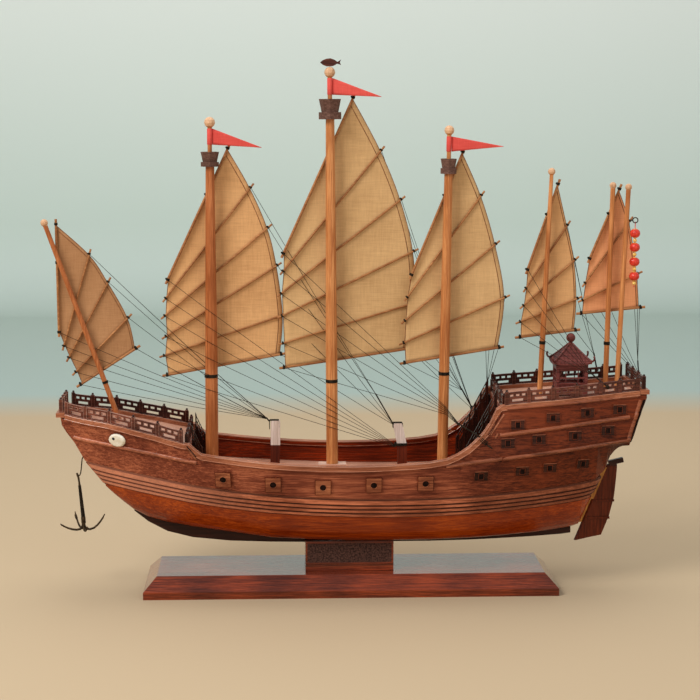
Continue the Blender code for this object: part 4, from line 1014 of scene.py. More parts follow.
# Sail, its end, which spars (0 is the yard), where they are made fast, masts passed in front
LEADS = (
    (1, "leech", (1, 1, 2, 3, 4, 4), GATHER_1, ()),
    (1, "luff", (0, 1, 2, 3, 4), GATHER_1, ()),
    (2, "leech", (1, 2), GATHER_2, ()),
    (2, "leech", (3, 4, 5), POST_2_TOP, ()),
    (2, "luff", (0, 1, 2, 3, 4, 5), POST_2_BAND, ("mast_2", "mast_3")),
    (3, "luff", (0, 1, 2, 3, 4, 5), GATHER_3, ("mast_4",)),
    (3, "leech", (1, 2, 3, 4, 5), STARBOARD_SLOPE, ()),
    (4, "luff", (0, 1, 2, 3, 4), GATHER_4, ()),
    (4, "leech", (1, 2, 3, 4), POOP_CORNER, ()),
    (5, "luff", (0, 1, 2, 3, 4), GATHER_7, ()),
    (5, "leech", (1, 2, 3, 4), GATHER_5, ()),
    (6, "luff", (0, 1, 2, 3), AFTER_RAIL, ()),
    (6, "leech", (1, 2, 3), GATHER_6, ()),
)
threads = 0
for number, edge, spars, fast, masts in LEADS:
    sail = SAILS[number - 1]
    to_port = fast.y <= 0
    paths = []
    for i, k in enumerate(spars):
        luff, leech = spar_ends(sail)[k]
        out = (leech - luff).normalized() * TIE_OUT
        start = leech + out if edge == "leech" else luff - out
        start = start + Vector((0, TIE_PORT if to_port else TIE_STARBOARD, 0))
        apart = Vector((0, RAIL_STEP, 0)) if fast == AFTER_RAIL else Vector((0, 0, -POST_STEP))
        end = fast + apart * i
        paths.append(round_masts(start, end, masts) if masts else sagging(start, end))
    name = "sheets_%d_%s_%d" % (number, edge, spars[0])
    rods_along(name, paths, THREAD_RADIUS, "thread", sides=5)
    threads += len(paths)
cords = [sagging(*ends, by=0.0) for ends in CORDS]
rods_along("sheet_cords", cords, CORD_RADIUS, "thread", sides=6)
KNOT = ((0.3, -1.3), (1.1, -0.8), (1.3, 0.0), (0.9, 0.9), (0.3, 1.3))
knots = [(end, 1.4) for _, end in CORDS[2:]] + [(POOP_CORNER, 1.2)]
knots += [(AFTER_RAIL + Vector((0, RAIL_STEP * k, 0.4)), 0.85) for k in (-1.3, 1, 2, 3)]
bm = bmesh.new()
for spot, size in knots:
    add_turned(bm, [(radius * size, height * size) for radius, height in KNOT], spot, sides=8)
piece("rail_knots", bm, "thread", smooth=60)
print("sheets:", threads)

# %% [markdown]
# ## Railing knobs
#
# Every post of the railings ends in a small turned knob. The posts stand at known places
# along each rail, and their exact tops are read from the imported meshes: of the corners
# near a station, the highest are the post's. One knob is modelled and the points tree
# copies it to all of them.

# %% Knobs on the posts
FORE_POSTS_X = (-282, -263, -239, -215, -191, -168)
POOP_POSTS_X = (152, 174, 198, 222, 246, 266, 284)
POST_REACH = 1.6        # half a post's thickness, and a little
END_SHARES, BREAK_SHARES = (-1, -0.34, 0.34, 1), (-1, -0.5, 0, 0.5, 1)
CROSS_SHARES = {"rail_bow": END_SHARES, "rail_stern": END_SHARES,
                "rail_fore_break": BREAK_SHARES, "rail_poop_front": BREAK_SHARES}
KNOB = ((1.5, -0.6), (1.5, 0.1), (0.8, 0.3), (0.8, 0.5), (1.3, 0.9), (1.2, 1.4), (0.6, 2.0))


def post_top(node, axis, station):
    """The middle of a post's top, near a station along one axis."""
    near = [v.co / MM for v in NODES[node].data.vertices]
    near = [p for p in near if abs(p[axis] - station) < POST_REACH + 0.6]
    high = max(p.z for p in near)
    top = [p for p in near if p.z > high - 1.2]
    x, y = ((min(p[i] for p in top) + max(p[i] for p in top)) / 2 for i in (0, 1))
    return Vector((x, y, high))


tops = []
for rail, stations in (("rail_fore_", FORE_POSTS_X), ("rail_poop_", POOP_POSTS_X)):
    tops += [post_top(rail + side, 0, x) for side in ("port", "starboard") for x in stations]
for node, shares in CROSS_SHARES.items():
    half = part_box(node)[1].y / MM - POST_REACH
    tops += [post_top(node, 1, half * share) for share in shares]
knob = bmesh.new()
add_turned(knob, KNOB, sides=10)
patterns_at("post_knobs", [(top, Matrix.Identity(3), 1.0) for top in tops], knob, "fret_wood")
print("knobs:", len(tops))

# %% [markdown]
# ## Painted edge highlights
#
# Pale lines on the corners of the fretwork and of the cap rail are painted highlights. A material could
# look for corners, but on strips as thin as these it would find them everywhere. Instead a
# hair-thin rod in paler wood, a painted highlight, follows each edge where two faces meet at a steep angle.

# %% Painted edge highlights
EDGE_RADIUS = 0.2
CAP_EDGE_RADIUS = 0.4
SHARP = math.radians(50)


def sharp_edges(node, lean=0.0):
    """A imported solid's sharp edges, as pairs of points; lean is how far they must run along X."""
    bm = bmesh.new()
    bm.from_mesh(NODES[node].data)
    bmesh.ops.remove_doubles(bm, verts=bm.verts, dist=0.01 * MM)
    pairs = []
    for edge in bm.edges:
        run = edge.verts[1].co - edge.verts[0].co
        sharp = len(edge.link_faces) == 2 and edge.calc_face_angle() > SHARP
        if sharp and abs(run.x) >= lean * run.length:
            pairs.append([vert.co / MM for vert in edge.verts])
    bm.free()
    return pairs


EDGE_HIGHLIGHTS = {"rail_fore_port": "edge_highlight_wood", "rail_poop_port": "dim_edge_highlight", "rail_bow": "edge_highlight_wood",
          "rail_stern": "dim_edge_highlight", "rail_fore_starboard": "dim_edge_highlight",
          "rail_poop_starboard": "dim_edge_highlight", "rail_poop_front": "dim_edge_highlight",
          "rail_fore_break": "dim_edge_highlight"}
for node, highlight_finish in EDGE_HIGHLIGHTS.items():
    edges = sharp_edges(node)
    rods_along(node + "_edges", edges, EDGE_RADIUS, highlight_finish, sides=4)
    print(node, "edges:", len(edges))
for side in ("port", "starboard"):
    edges = sharp_edges("cap_rail_" + side, 0.5)
    rods_along("cap_edges_" + side, edges, CAP_EDGE_RADIUS, "cap_edge_highlight", sides=6)

# %% [markdown]
# ## Windows and gunports
#
# The high stern has three rows of small oblong windows. Each is a dark panel with a fine
# raised edge and a smaller frame round a black pane in its middle. They follow the hull's
# side, so each place is found by casting a ray from outside at the side's solid, which
# gives the point and the way it faces. A gunport is a square plate with a round hole. Four
# rings of points make it: the plate's rim and the hole's, each at the back and the front.

# %% Stern windows
HULL_SIDE = skin("forecastle", "sterncastle", "bulwark_port", "bulwark_starboard", "hull_middle")
WINDOW_ROWS = (
    ((127, 125.3), (168.3, 129.2), (196, 131.8), (230, 134.4)),
    ((153, 158), (184, 161.2), (220.5, 163.8), (254, 168)),
    ((162.8, 176.2), (198, 182.5), (232.6, 186.6), (265.6, 188.8)),
)
WINDOW_WIDE, WINDOW_TALL = 14.0, 9.6
PANE_WIDE, PANE_TALL = 5.2, 6.2
FRAME_THICK = 1.1
OUTSIDE = 150           # where a ray to the hull's side starts, from the middle


def on_side(x, z, side, solids=HULL_SIDE):
    """Where the hull's side is at (x, z), and which way it faces."""
    spot, normal, _, _ = solids.ray_cast(Vector((x, side * OUTSIDE, z)), Vector((0, -side, 0)))
    if spot and normal.y * side < 0:
        normal = -normal
    return spot, normal


def add_frame(bm, wide, tall, bar, out):
    """Adds a rectangular frame in the XZ plane; out is where its middle stands along Y."""
    for end in SIDES:
        add_block(bm, (0, out, end * tall / 2), (wide + bar, FRAME_THICK, bar), bevel=0.1)
        add_block(bm, (end * wide / 2, out, 0), (bar, FRAME_THICK, tall - bar), bevel=0.1)


places = [on_side(x, z, side) for side in SIDES for row in WINDOW_ROWS for x, z in row]
places = [(spot, facing(out), 1.0) for spot, out in places]
edges, ledge, panel, pane = (bmesh.new() for _ in range(4))
add_frame(edges, WINDOW_WIDE, WINDOW_TALL, 0.6, 0.4)
add_frame(edges, PANE_WIDE, PANE_TALL, 0.5, 0.5)
add_block(ledge, (0, 0.7, WINDOW_TALL / 2 + 0.1), (WINDOW_WIDE - 1.0, 1.2, 0.6), bevel=0.15)
add_block(panel, (0, 0.0, 0), (WINDOW_WIDE, 1.0, WINDOW_TALL))
add_block(pane, (0, 0.3, 0), (PANE_WIDE - 0.6, 0.9, PANE_TALL - 0.6))
patterns_at("window_edges", places, edges, "red_hull")
patterns_at("window_ledges", places, ledge, "strake_wood")
patterns_at("window_panels", places, panel, "panel_wood")
# black panes: painted shade of the window openings
patterns_at("window_panes", places, pane, "dark_inside")
print("windows:", len(places))

# %% Gunports
GUNPORTS = ((-127, 124), (-78, 119), (-29, 116), (21, 118), (72, 119))
PLATE_HALF = 7.4
PLATE_THICK = 1.1
PLATE_STEPS = 24
PORT_RADIUS = 3.1
SHADE = 2 * PLATE_HALF + 1.4    # the dark board behind a plate, a painted shadow round its rim
LOOK_AFT = 5.5          # the hull's side is looked up so far aft of a plate's middle


def add_pierced_plate(bm, half, hole, thick):
    """Adds a square plate with a round hole, in the XZ plane, standing out along Y."""
    reaches = [half / max(abs(c), abs(s)) for c, s in circle(PLATE_STEPS)]
    rim = [(reach * c, reach * s) for reach, (c, s) in zip(reaches, circle(PLATE_STEPS))]
    bore = [(hole * c, hole * s) for c, s in circle(PLATE_STEPS)]
    levels = ((rim, 0.0), (rim, thick), (bore, thick), (bore, 0.0))
    add_rings(bm, [[(x, out, z) for x, z in ring] for ring, out in levels], closed=True)


plate, shade, bore = bmesh.new(), bmesh.new(), bmesh.new()
add_pierced_plate(plate, PLATE_HALF, PORT_RADIUS, PLATE_THICK)
add_ring(plate, (0, PLATE_THICK, 0), (0, 1, 0), PORT_RADIUS + 0.4, 0.35, 20, 6)
add_block(shade, (0, 0, 0), (SHADE, 1.0, SHADE), bevel=0.2)
# a black plug in each hole paints the shade of its bore
add_turned(bore, [(PORT_RADIUS, -0.5), (PORT_RADIUS, 0.75)], axis=(0, 1, 0), sides=20)
places = []
for side in SIDES:
    for x, z in GUNPORTS:
        spot, out = on_side(x + LOOK_AFT, z, side)
        places.append((Vector((x, spot.y, z)), facing(out), 1.0))
patterns_at("gunport_plates", places, plate, "plate_wood")
# painted shadow round each plate
patterns_at("gunport_edges", places, shade, "rudder_wood")
patterns_at("gunport_bores", places, bore, "dark_inside")
print("gunports:", len(places))

# %% [markdown]
# ## Eyes
#
# A junk looks where it goes: the eyes on the bow are bone ovals with a small black pupil,
# which sits forward in the eye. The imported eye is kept. A pupil is a low dome whose place
# is found on the eye's own surface.

# %% Pupils
PUPIL_X, PUPIL_Z = -235.2, 162.2
DOME = ((1.5, -0.5), (1.5, 0.1), (1.1, 0.45), (0.5, 0.6))
bm = bmesh.new()
for node, side in (("eye_port", -1), ("eye_starboard", 1)):
    spot, out = on_side(PUPIL_X, PUPIL_Z, side, skin(node))
    add_turned(bm, DOME, spot, out, 14)
piece("pupils", bm, "pupil", smooth=60)
print("pupils stand", round(abs(spot.y), 1), "mm from the middle")

# %% [markdown]
# ## Anchor
#
# The anchor is a four-armed grapnel, cast in brown metal. Its shank is served with black
# thread and it hangs from a bent wire. Arms are tubes that thin towards the tip, and each
# ends in a small spade. It replaces the plain solid and swings with it.

# %% Anchor
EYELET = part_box("anchor_eye")
PIVOT = (EYELET[0] + EYELET[1]) / 2 / MM
# Distance aft of the pivot, height above it, radius
WIRE = ((-0.3, -0.4, 0.6), (-1.9, -4.0, 0.6), (-2.4, -8.5, 0.6), (-3.0, -14.0, 0.6),
        (-3.7, -18.6, 0.6), (-4.6, -20.6, 0.6), (-6.2, -22.0, 0.6))
SHANK = ((-7.6, -18.4, 0.8), (-7.0, -20.0, 1.15), (-6.0, -23.0, 1.05), (-5.4, -27.5, 0.95),
         (-5.0, -31.5, 1.2), (-3.6, -45.0, 1.4), (-2.1, -63.0, 1.7), (-2.0, -64.0, 2.3),
         (-1.7, -70.5, 2.3))
CROWN = Vector((-1.8, 0, -70.0))
# Which way an arm points in degrees, its reach, its tip above its lowest place
ARMS = ((186, 23.4, 6.8), (117, 24.0, 14.0), (4, 21.6, 15.9), (-72, 18.0, 7.0))
# Share of the reach, of the dip, of the tip's height, radius
ARM_CURVE = ((0.0, 0.0, 0.0, 1.5), (0.05, 0.55, 0.0, 1.4), (0.15, 0.9, 0.0, 1.25),
             (0.30, 1.0, 0.02, 1.15), (0.48, 1.0, 0.10, 1.1), (0.66, 1.0, 0.30, 1.0),
             (0.82, 1.0, 0.57, 0.9), (0.93, 1.0, 0.82, 0.75), (1.0, 1.0, 1.0, 0.45))
ARM_DIP = 7.2
SPADE_AT = (0.88, 0.66)         # share of the reach, share of the tip's height
SPADE_SIZE = (5.0, 2.6, 0.8)
SERVING_TURNS = 40

bm = bmesh.new()
for rows in (WIRE, SHANK):
    add_tube(bm, [PIVOT + Vector((x, 0, z)) for x, z, _ in rows], [row[2] for row in rows], 10)
for way, reach, height in ARMS:
    around = Matrix.Rotation(math.radians(way), 3, "Z")
    curve = [Vector((reach * out, 0, height * up - ARM_DIP * dip)) for out, dip, up, _ in ARM_CURVE]
    add_tube(bm, [PIVOT + CROWN + around @ point for point in curve], [row[3] for row in ARM_CURVE], 8)
    lean = around @ Matrix.Rotation(-math.atan2(height, reach * 0.5), 3, "Y")
    spot = around @ Vector((reach * SPADE_AT[0], 0, height * SPADE_AT[1] - ARM_DIP))
    add_block(bm, PIVOT + CROWN + spot, SPADE_SIZE, lean, 0.3)
anchor = piece("anchor_cast", bm, "bronze", "anchor", 45)
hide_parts("anchor")

low, high = (PIVOT + Vector((x, 0, z)) for x, z, _ in (SHANK[6], SHANK[4]))
bm = bmesh.new()
for k in range(SERVING_TURNS):
    share = k / (SERVING_TURNS - 1)
    add_ring(bm, high.lerp(low, share), high - low, 1.25 + 0.55 * share, 0.4, 10, 5)
piece("anchor_serving", bm, "thread", "anchor", 50)
print("anchor hangs from", [round(c) for c in PIVOT])

# %% [markdown]
# ## Lanterns
#
# Four red lanterns and four gold beads hang on one thread behind the last mast. A paper
# lantern has ribs, so the ball's outline is turned with a scalloped edge: the radius
# shrinks a little between ribs. The string replaces the plain solid and swings with it.

# %% Lanterns
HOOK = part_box("lantern_hook")
HANG_X = HOOK[1].x / MM - 1.8
HANG_Y = (HOOK[0].y + HOOK[1].y) / 2 / MM
HANG_Z = (HOOK[0].z + HOOK[1].z) / 2 / MM
LANTERN_Z = (361, 347, 332.5, 318)
BEAD_Z = (354, 339.8, 325.2, 311)
THREAD_FOOT = 307
LANTERN_RADIUS = 5.2
LANTERN_HIGH = 4.5
LANTERN_ROWS = 9
RIBS = 14
SCALLOP = 0.0275        # how far the silk sinks between ribs, of the radius, each way
BEAD_RADIUS = 2.0
BEAD_ANGLES = (0.3, 0.7, 1.2, 1.6, 2.0, 2.5, 2.85)      # from a bead's foot, in radians
COLLAR_AT, COLLAR_RADIUS, COLLAR_THREAD = 0.97 * LANTERN_HIGH, 1.6, 0.4
RING_UP = 1.6           # the ring's middle above the string's axis


def add_lantern(bm, centre):
    """Adds a ribbed ball; four points round it make one rib."""
    rings = []
    for i in range(1, LANTERN_ROWS):
        a = math.pi * i / LANTERN_ROWS
        ring = []
        for k, (c, s) in enumerate(circle(RIBS * 4)):
            scallop = 1 - SCALLOP * (1 - math.cos(math.pi / 2 * k))
            r = LANTERN_RADIUS * math.sin(a) ** 0.8 * scallop
            ring.append(centre + Vector((r * c, r * s, LANTERN_HIGH * math.cos(a))))
        rings.append(ring)
    add_rings(bm, rings)


silk, beads = bmesh.new(), bmesh.new()
for z in LANTERN_Z:
    add_lantern(silk, Vector((HANG_X, HANG_Y, z)))
ball = [(BEAD_RADIUS * math.sin(a), -BEAD_RADIUS * math.cos(a)) for a in BEAD_ANGLES]
for z in BEAD_Z:
    add_turned(beads, ball, (HANG_X, HANG_Y, z), sides=14)
for z in LANTERN_Z:
    for end in SIDES:
        spot = (HANG_X, HANG_Y, z + end * COLLAR_AT)
        add_ring(beads, spot, (0, 0, 1), COLLAR_RADIUS, COLLAR_THREAD, 14, 6)
lanterns = piece("lanterns", silk, "lantern_silk", "lanterns", 70)
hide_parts("lantern_string")
piece("lantern_beads", beads, "bead", "lanterns", 60)
string = [(HANG_X, HANG_Y, z) for z in (HANG_Z, LANTERN_Z[0], 332, THREAD_FOOT)]
rods_along("lantern_thread", [string], 0.4, "lantern_silk", "lanterns", 6)

bm = bmesh.new()
add_ring(bm, (HANG_X, HANG_Y, HANG_Z + RING_UP), (0, 1, 0), 2.6, 0.55, 20, 8)
pole_side = mast_at("lantern_pole", HANG_Z).x + mast_radius("lantern_pole", HANG_Z)
ends = [(x, HANG_Y, HANG_Z + RING_UP) for x in (pole_side - 0.2, HANG_X - 2.4)]
add_tube(bm, ends, 0.6, 8)
hook = piece("lantern_ring", bm, "bronze", smooth=50)
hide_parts("lantern_hook")
print("lanterns:", len(LANTERN_Z))

# %% [markdown]
# ## Flags
#
# Three red pennants fly aft from the mastheads. Each is a small triangle of stiffened
# cloth with a slow wave that grows towards its tip, made as a grid like the sails.

# %% Flags
# Number, heights of the hoist's foot and head, tip's x and height
FLAGS = ((2, (449, 465), (-87, 446)), (3, (498, 514.5), (32, 496)), (4, (442, 457), (154, 447)))
FLAG_STEPS = 22
FLAG_ROWS = 6
FLAG_WAVE = 1.4
FLAG_THICK = 0.3
BLUNT = 0.985           # a flag ends just before its tip
SLEEVE = 0.45           # how far a flag's sleeve stands out from the topmast
for number, (low, high), (tip_x, tip_z) in FLAGS:
    mast = "mast_%d" % number
    hoist_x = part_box("flag_%d" % number)[0].x / MM
    rows = []
    for j in range(FLAG_ROWS + 1):
        hoist = Vector((hoist_x, 0, low + (high - low) * j / FLAG_ROWS))
        rows.append([])
        for i in range(FLAG_STEPS + 1):
            t = BLUNT * i / FLAG_STEPS
            spot = hoist.lerp(Vector((tip_x, 0, tip_z)), t)
            spot.y = FLAG_WAVE * t * math.sin(7.5 * t + number + 0.12 * j)
            rows[j].append(spot)
    bm, sleeve = bmesh.new(), bmesh.new()
    add_grid(bm, rows)
    middle = (low + high) / 2
    around = mast_radius(mast, middle) + SLEEVE
    levels = (low, low + 0.4, middle, high - 0.4, high)
    radii = [around - 0.3, around, around, around, around - 0.3]
    add_tube(sleeve, [mast_at(mast, z) for z in levels], radii, 20)
    piece("flag_%d_sleeve" % number, sleeve, "bunting", smooth=50)
    flag = piece("flag_%d_cloth" % number, bm, "bunting", closed=False)
    thicken(flag, FLAG_THICK)
    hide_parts("flag_%d" % number)
    fly = tip_x - hoist_x
    (high - low) * MM
    fly * (high - low) / 2 * MM * MM
print("flags:", len(FLAGS))

# %% [markdown]
# ## Decks
#
# The decks are laid with narrow planks. Each plank is a thin strip that ends where the
# bulwark or cap rail begins, so its edges come from rays: one cast down finds the deck's
# height, and one cast sideways finds the inside of the rail.

# %% Deck planks
PLANK = 6.4
SEAM = 0.35
PLANK_THICK = 0.8
PLANK_LIFT = 0.15       # of a plank's underside above the solid deck
NARROWEST = 0.8         # a plank ends where it would be narrower
DECKS = skin("forecastle", "sterncastle", "main_deck")
WALLS = skin("cap_rail_port", "cap_rail_starboard", "bulwark_port", "bulwark_starboard")
DECK_STEP = 8.0
ABOVE = 240             # where a ray to the deck starts
ASIDE = 13.0            # from the middle, clear of masts and steps
# Name, first x, last x
DECK_SPANS = (("fore_deck_planks", -283.0, -162.0), ("waist_planks", -158.0, 145.5),
              ("poop_deck_planks", 149.0, 285.0))


def deck_z(x, y):
    """Height of the deck under a point, or nothing where there is no deck."""
    spot = DECKS.ray_cast(Vector((x, y, ABOVE)), Vector((0, 0, -1)))[0]
    return spot.z if spot else None


def wall_y(x, z):
    """Distance from the middle to the inside of the rail or bulwark."""
    found = WALLS.ray_cast(Vector((x, 0, z)), Vector((0, 1, 0)))[0]
    return found.y if found else 0.0


for name, first, last in DECK_SPANS:
    steps = round((last - first) / DECK_STEP)
    xs = [first + (last - first) * i / steps for i in range(steps + 1)]
    xs = [x for x in xs if deck_z(x, ASIDE)]
    levels = [deck_z(x, ASIDE) for x in xs]
    reaches = [wall_y(x, z + 2.0) - 0.3 for x, z in zip(xs, levels)]
    bm = bmesh.new()
    count = int(max(reaches) / PLANK) + 1
    for k in range(-count, count):
        rings = []
        for x, z, reach in zip(xs, levels, reaches):
            a, b = max(k * PLANK + SEAM / 2, -reach), min((k + 1) * PLANK - SEAM / 2, reach)
            low, top = z + PLANK_LIFT, z + PLANK_LIFT + PLANK_THICK
            if b - a >= NARROWEST:
                rings.append([(x, a, low), (x, b, low), (x, b, top), (x, a, top)])
        if len(rings) > 1:
            add_rings(bm, rings)
    piece(name, bm, "deck_wood")
    print(name, 2 * count)

# %% [markdown]
# ## Strakes and mouldings
#
# Long pale strips stand out from the side: the strakes, which follow the sheer, and the
# mouldings that frame the sterncastle. Each is a half-round strip that follows the side,
# so its points are found by casting rays at regular steps between two ends, and the tube
# is sunk until about half of it shows.

# %% Mouldings
TRIMMED = skin("forecastle", "sterncastle", "bulwark_port", "bulwark_starboard", "hull_middle",
               "hull_bottom", "cap_rail_port", "cap_rail_starboard", "sternpost")
# Three thin dark strips are painted shade lines, not mouldings
# Start and end of each strip as x, z, then its radius, how far it is sunk, and its wood
STRIPS = (
    ((-276, 160.5), (-153.0, 140.0), 2.3, 0.9, "strake_wood"),
    ((92, 136.3), (276, 157.3), 2.3, 0.9, "strake_wood"),
    ((145.5, 166.3), (276, 181.2), 2.3, 0.9, "strake_wood"),
    ((286.8, 198.0), (274.6, 156.0), 2.1, 0.5, "strake_wood"),
    # painted shade along the transom's edge
    ((290.6, 198.5), (277.6, 156.0), 1.0, 0.0, "dark_inside"),
    ((131.2, 167.0), (145.7, 189.8), 0.9, 0.1, "cap_wood"),
    ((135.9, 166.7), (149.4, 187.0), 0.9, 0.1, "cap_wood"),
    # painted shade in the groove between the slope's mouldings
    ((133.4, 166.8), (147.4, 188.4), 0.7, 0.2, "rudder_wood"),
    ((140.5, 163.3), (143.3, 168.2), 0.9, 0.1, "cap_wood"),
    ((-164.4, 157.6), (-153.0, 143.6), 1.3, 0.3, "cap_wood"),
    # painted shade beside the fore break's moulding
    ((-162.2, 157.2), (-152.2, 145.6), 0.6, 0.0, "dark_inside"),
    ((152.0, 192.5), (284.0, 202.0), 1.3, -0.2, "strake_wood"),
)
STRIP_STEPS = 24
for number, (start, end, radius, sunk, finish) in enumerate(STRIPS):
    paths = []
    for side in SIDES:
        found = []
        for i in range(STRIP_STEPS + 1):
            x, z = Vector(start).lerp(Vector(end), i / STRIP_STEPS)
            found.append(on_side(x, z, side, TRIMMED))
        paths.append([spot - out * sunk for spot, out in found if spot])
    rods_along("moulding_%d" % number, paths, radius, finish, sides=10)
print("mouldings:", len(STRIPS) * 2)

# %% [markdown]
# ## Stem
#
# The planks end at the bow in the stem, a curved timber. Its fore edge is a row of measured
# points. A small six-sided section is set square to the edge at each of them, and the
# sections are joined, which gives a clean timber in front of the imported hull's facets.

# %% Stem
# Fore edge of the stem on the middle plane as x, z, from the bow cap down to the keel
STEM = ((-292.0, 176.0), (-290.9, 168.2), (-286.6, 161.0), (-279.6, 151.5), (-273.0, 142.4),
        (-268.0, 135.1), (-259.6, 123.7), (-252.9, 112.5), (-246.8, 105.0), (-240.8, 98.7),
        (-232.9, 92.0), (-226.4, 86.6), (-218.4, 80.3))
STEM_HALF = 1.6
STEM_DEEP = 5.0
# Corners of its section: share of the depth, share of the half width
STEM_SECTION = ((0.0, 0.5), (0.25, 1.0), (1.0, 1.0), (1.0, -1.0), (0.25, -1.0), (0.0, -0.5))
rings = []
for i, (x, z) in enumerate(STEM):
    ahead, behind = Vector(STEM[max(i - 1, 0)]), Vector(STEM[min(i + 1, len(STEM) - 1)])
    along = (behind - ahead).normalized()
    inward = Vector((-along.y, 0, along.x)) * STEM_DEEP
    rings.append([Vector((x, y * STEM_HALF, z)) + inward * deep for deep, y in STEM_SECTION])
bm = bmesh.new()
add_rings(bm, rings)
piece("stem", bm, "red_hull", smooth=40)
print("stem:", len(STEM) - 1, "lengths")

# %% [markdown]
# ## Tiller
#
# The bar that turns the rudder is a square stick, mortised into a low block on the rudder's
# head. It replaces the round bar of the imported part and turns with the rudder.

# %% Tiller
TILLER_START, TILLER_END = Vector((264.8, 0, 124.7)), Vector((280.0, 0, 128.2))
TILLER_THICK = 5.0
tiller_run = TILLER_END - TILLER_START
lean = Matrix.Rotation(-math.atan2(tiller_run.z, tiller_run.x), 3, "Y")
size = (tiller_run.length, TILLER_THICK, TILLER_THICK)
bm = bmesh.new()
add_block(bm, (TILLER_START + TILLER_END) / 2, size, lean, 0.4)
add_block(bm, (268.4, 0, 122.6), (10.4, 4.0, 2.2), bevel=0.3)
tiller = piece("tiller", bm, "fret_wood", "rudder")
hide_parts("rudder_bar")
print("tiller:", round(tiller_run.length, 1), "mm long")

# %% [markdown]
# ## Sternpost cheeks
#
# The rudder's rounded fore edge turns in a groove between two yellowish boards on the
# sternpost. The boards reach just to the rudder's axis, so that the blade clears them at
# full helm.

# %% Sternpost cheeks
# The rudder's fore edge, and the corners of a board's section as distance aft of it and y
POST_FOOT, POST_HEAD = Vector((248.0, 0, 88.0)), Vector((261.2, 0, 120.8))
CHEEK = ((-2.6, 2.5), (1.6, 2.5), (1.6, 3.5), (-2.6, 3.5))
bm = bmesh.new()
for side in SIDES:
    add_rings(bm, [[spot + Vector((x, side * y, 0)) for x, y in CHEEK] for spot in (POST_FOOT, POST_HEAD)])
piece("sternpost_cheeks", bm, "post_wood")
print("cheeks:", round((POST_HEAD - POST_FOOT).length, 1), "mm long")

# %% [markdown]
# ## Butts and inner planks
#
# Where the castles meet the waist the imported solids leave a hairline. On the real model the
# planks run on across it, so a thin cover in the same wood bridges it. It follows the side
# closely, and wood on Object coordinates runs through it without a break. Inside, dark
# planks line the bulwarks up to the cap rail's edge, each as wide as the wall's height
# allows at that place.

# %% Butt covers
BUTTS = ((-160.0, 116.8), (147.0, 106.4))       # where along the hull, and the cover's foot
COVER_HALF = 1.0
COVER_HEAD = 196
COVER_OUT, COVER_IN = 0.12, -0.2
bm = bmesh.new()
for side in SIDES:
    for x, foot in BUTTS:
        rings = []
        for up in range(math.ceil(COVER_HEAD - foot)):
            spots = [on_side(x + across, foot + up, side)[0] for across in (-COVER_HALF, COVER_HALF)]
            if all(spots) and abs(spots[0].y - spots[1].y) < 1.0:
                rings.append([spot + Vector((0, side * COVER_OUT, 0)) for spot in spots]
                             + [spot + Vector((0, side * COVER_IN, 0)) for spot in spots[::-1]])
        add_rings(bm, rings)
piece("butt_covers", bm, "red_hull")
print("covers:", len(BUTTS) * 2)

# %% Inner planks
INNER_PLANKS = 7
INNER_THICK = 0.5
INNER_SEAM = 0.3
INNER_SPAN = (-156.0, 144.0)
INNER_STEPS = 50
INNER_FOOT, INNER_HEAD = 1.2, 1.0       # bare wall below the planks and above them
SEARCH_STEP, SEARCH_HIGH = 0.5, 70


def inside(x, z, side):
    """The inside of the bulwark or its cap at a height, looking past the seam between them."""
    for nudge in (0.0, 0.4, -0.4):
        spot = WALLS.ray_cast(Vector((x, 0, z + nudge)), Vector((0, side, 0)))[0]
        if spot:
            return Vector((x, spot.y, z))
    return None


def inside_top(x, low, side):
    """Height at which the inside of the bulwark and its cap ends."""
    z = low
    while inside(x, z + SEARCH_STEP, side) and z < low + SEARCH_HIGH:
        z += SEARCH_STEP
    return z


bm = bmesh.new()
for side in SIDES:
    columns = []
    for i in range(INNER_STEPS + 1):
        x = INNER_SPAN[0] + (INNER_SPAN[1] - INNER_SPAN[0]) * i / INNER_STEPS
        deck = deck_z(x, ASIDE)
        if deck:
            low = deck + INNER_FOOT
            columns.append((x, low, inside_top(x, low, side) - INNER_HEAD))
    for k in range(INNER_PLANKS):
        rings = []
        for x, low, high in columns:
            ring = []
            for share, thick in ((k, 0.1), (k + 1, 0.1), (k + 1, INNER_THICK), (k, INNER_THICK)):
                z = low + (high - low) * share / INNER_PLANKS + (INNER_SEAM if share == k else 0.0)
                ring.append(inside(x, z, side) - Vector((0, side * thick, 0)))
            rings.append(ring)
        add_rings(bm, rings)
piece("inner_planks", bm, "inner_wood")
print("inner planks:", 2 * INNER_PLANKS)

# %% [markdown]
# ## Belayed thread
#
# Where sheets are made fast, many turns of thread lie side by side round the post or the
# cap rail. A turn round a square post is a rounded rectangle, so one function makes such a
# loop in any plane, and bundles are loops at small steps.

# %% Belaying turns
POST_TURNS = 9          # turns laid over a post
LAID_WIDE = 9.3         # where they end aft of the post's fore face
TURN_SHAPE = 0.35       # 1 is an ellipse, less is more like a rectangle
SLOPE = Vector((0.62, 0, 0.78))


def loop_path(centre, across, up, half_across, half_up):
    """A rounded rectangle round a post or rail."""
    across, up = Vector(across).normalized(), Vector(up).normalized()
    path = []
    for c, s in circle(20) + circle(1):
        path.append(Vector(centre) + across * half_across * math.copysign(abs(c) ** TURN_SHAPE, c)
                    + up * half_up * math.copysign(abs(s) ** TURN_SHAPE, s))
    return path


def over_post(box, hang):
    """Turns of thread laid over a post's head, hanging down both its sides."""
    low, high = box[0] / MM, box[1] / MM
    top, left, right = high.z + 0.3, low.x - 0.4, low.x + LAID_WIDE
    shape = ((left + 0.2, top - hang), (left, top - 1.0), (left + 0.6, top), (right - 0.6, top),
             (right, top - 1.0), (right + 0.2, top - hang * 0.8))
    across = [low.y + 0.4 + (high.y - low.y - 0.8) * k / (POST_TURNS - 1) for k in range(POST_TURNS)]
    return [[(x, y, z) for x, z in shape] for y in across]


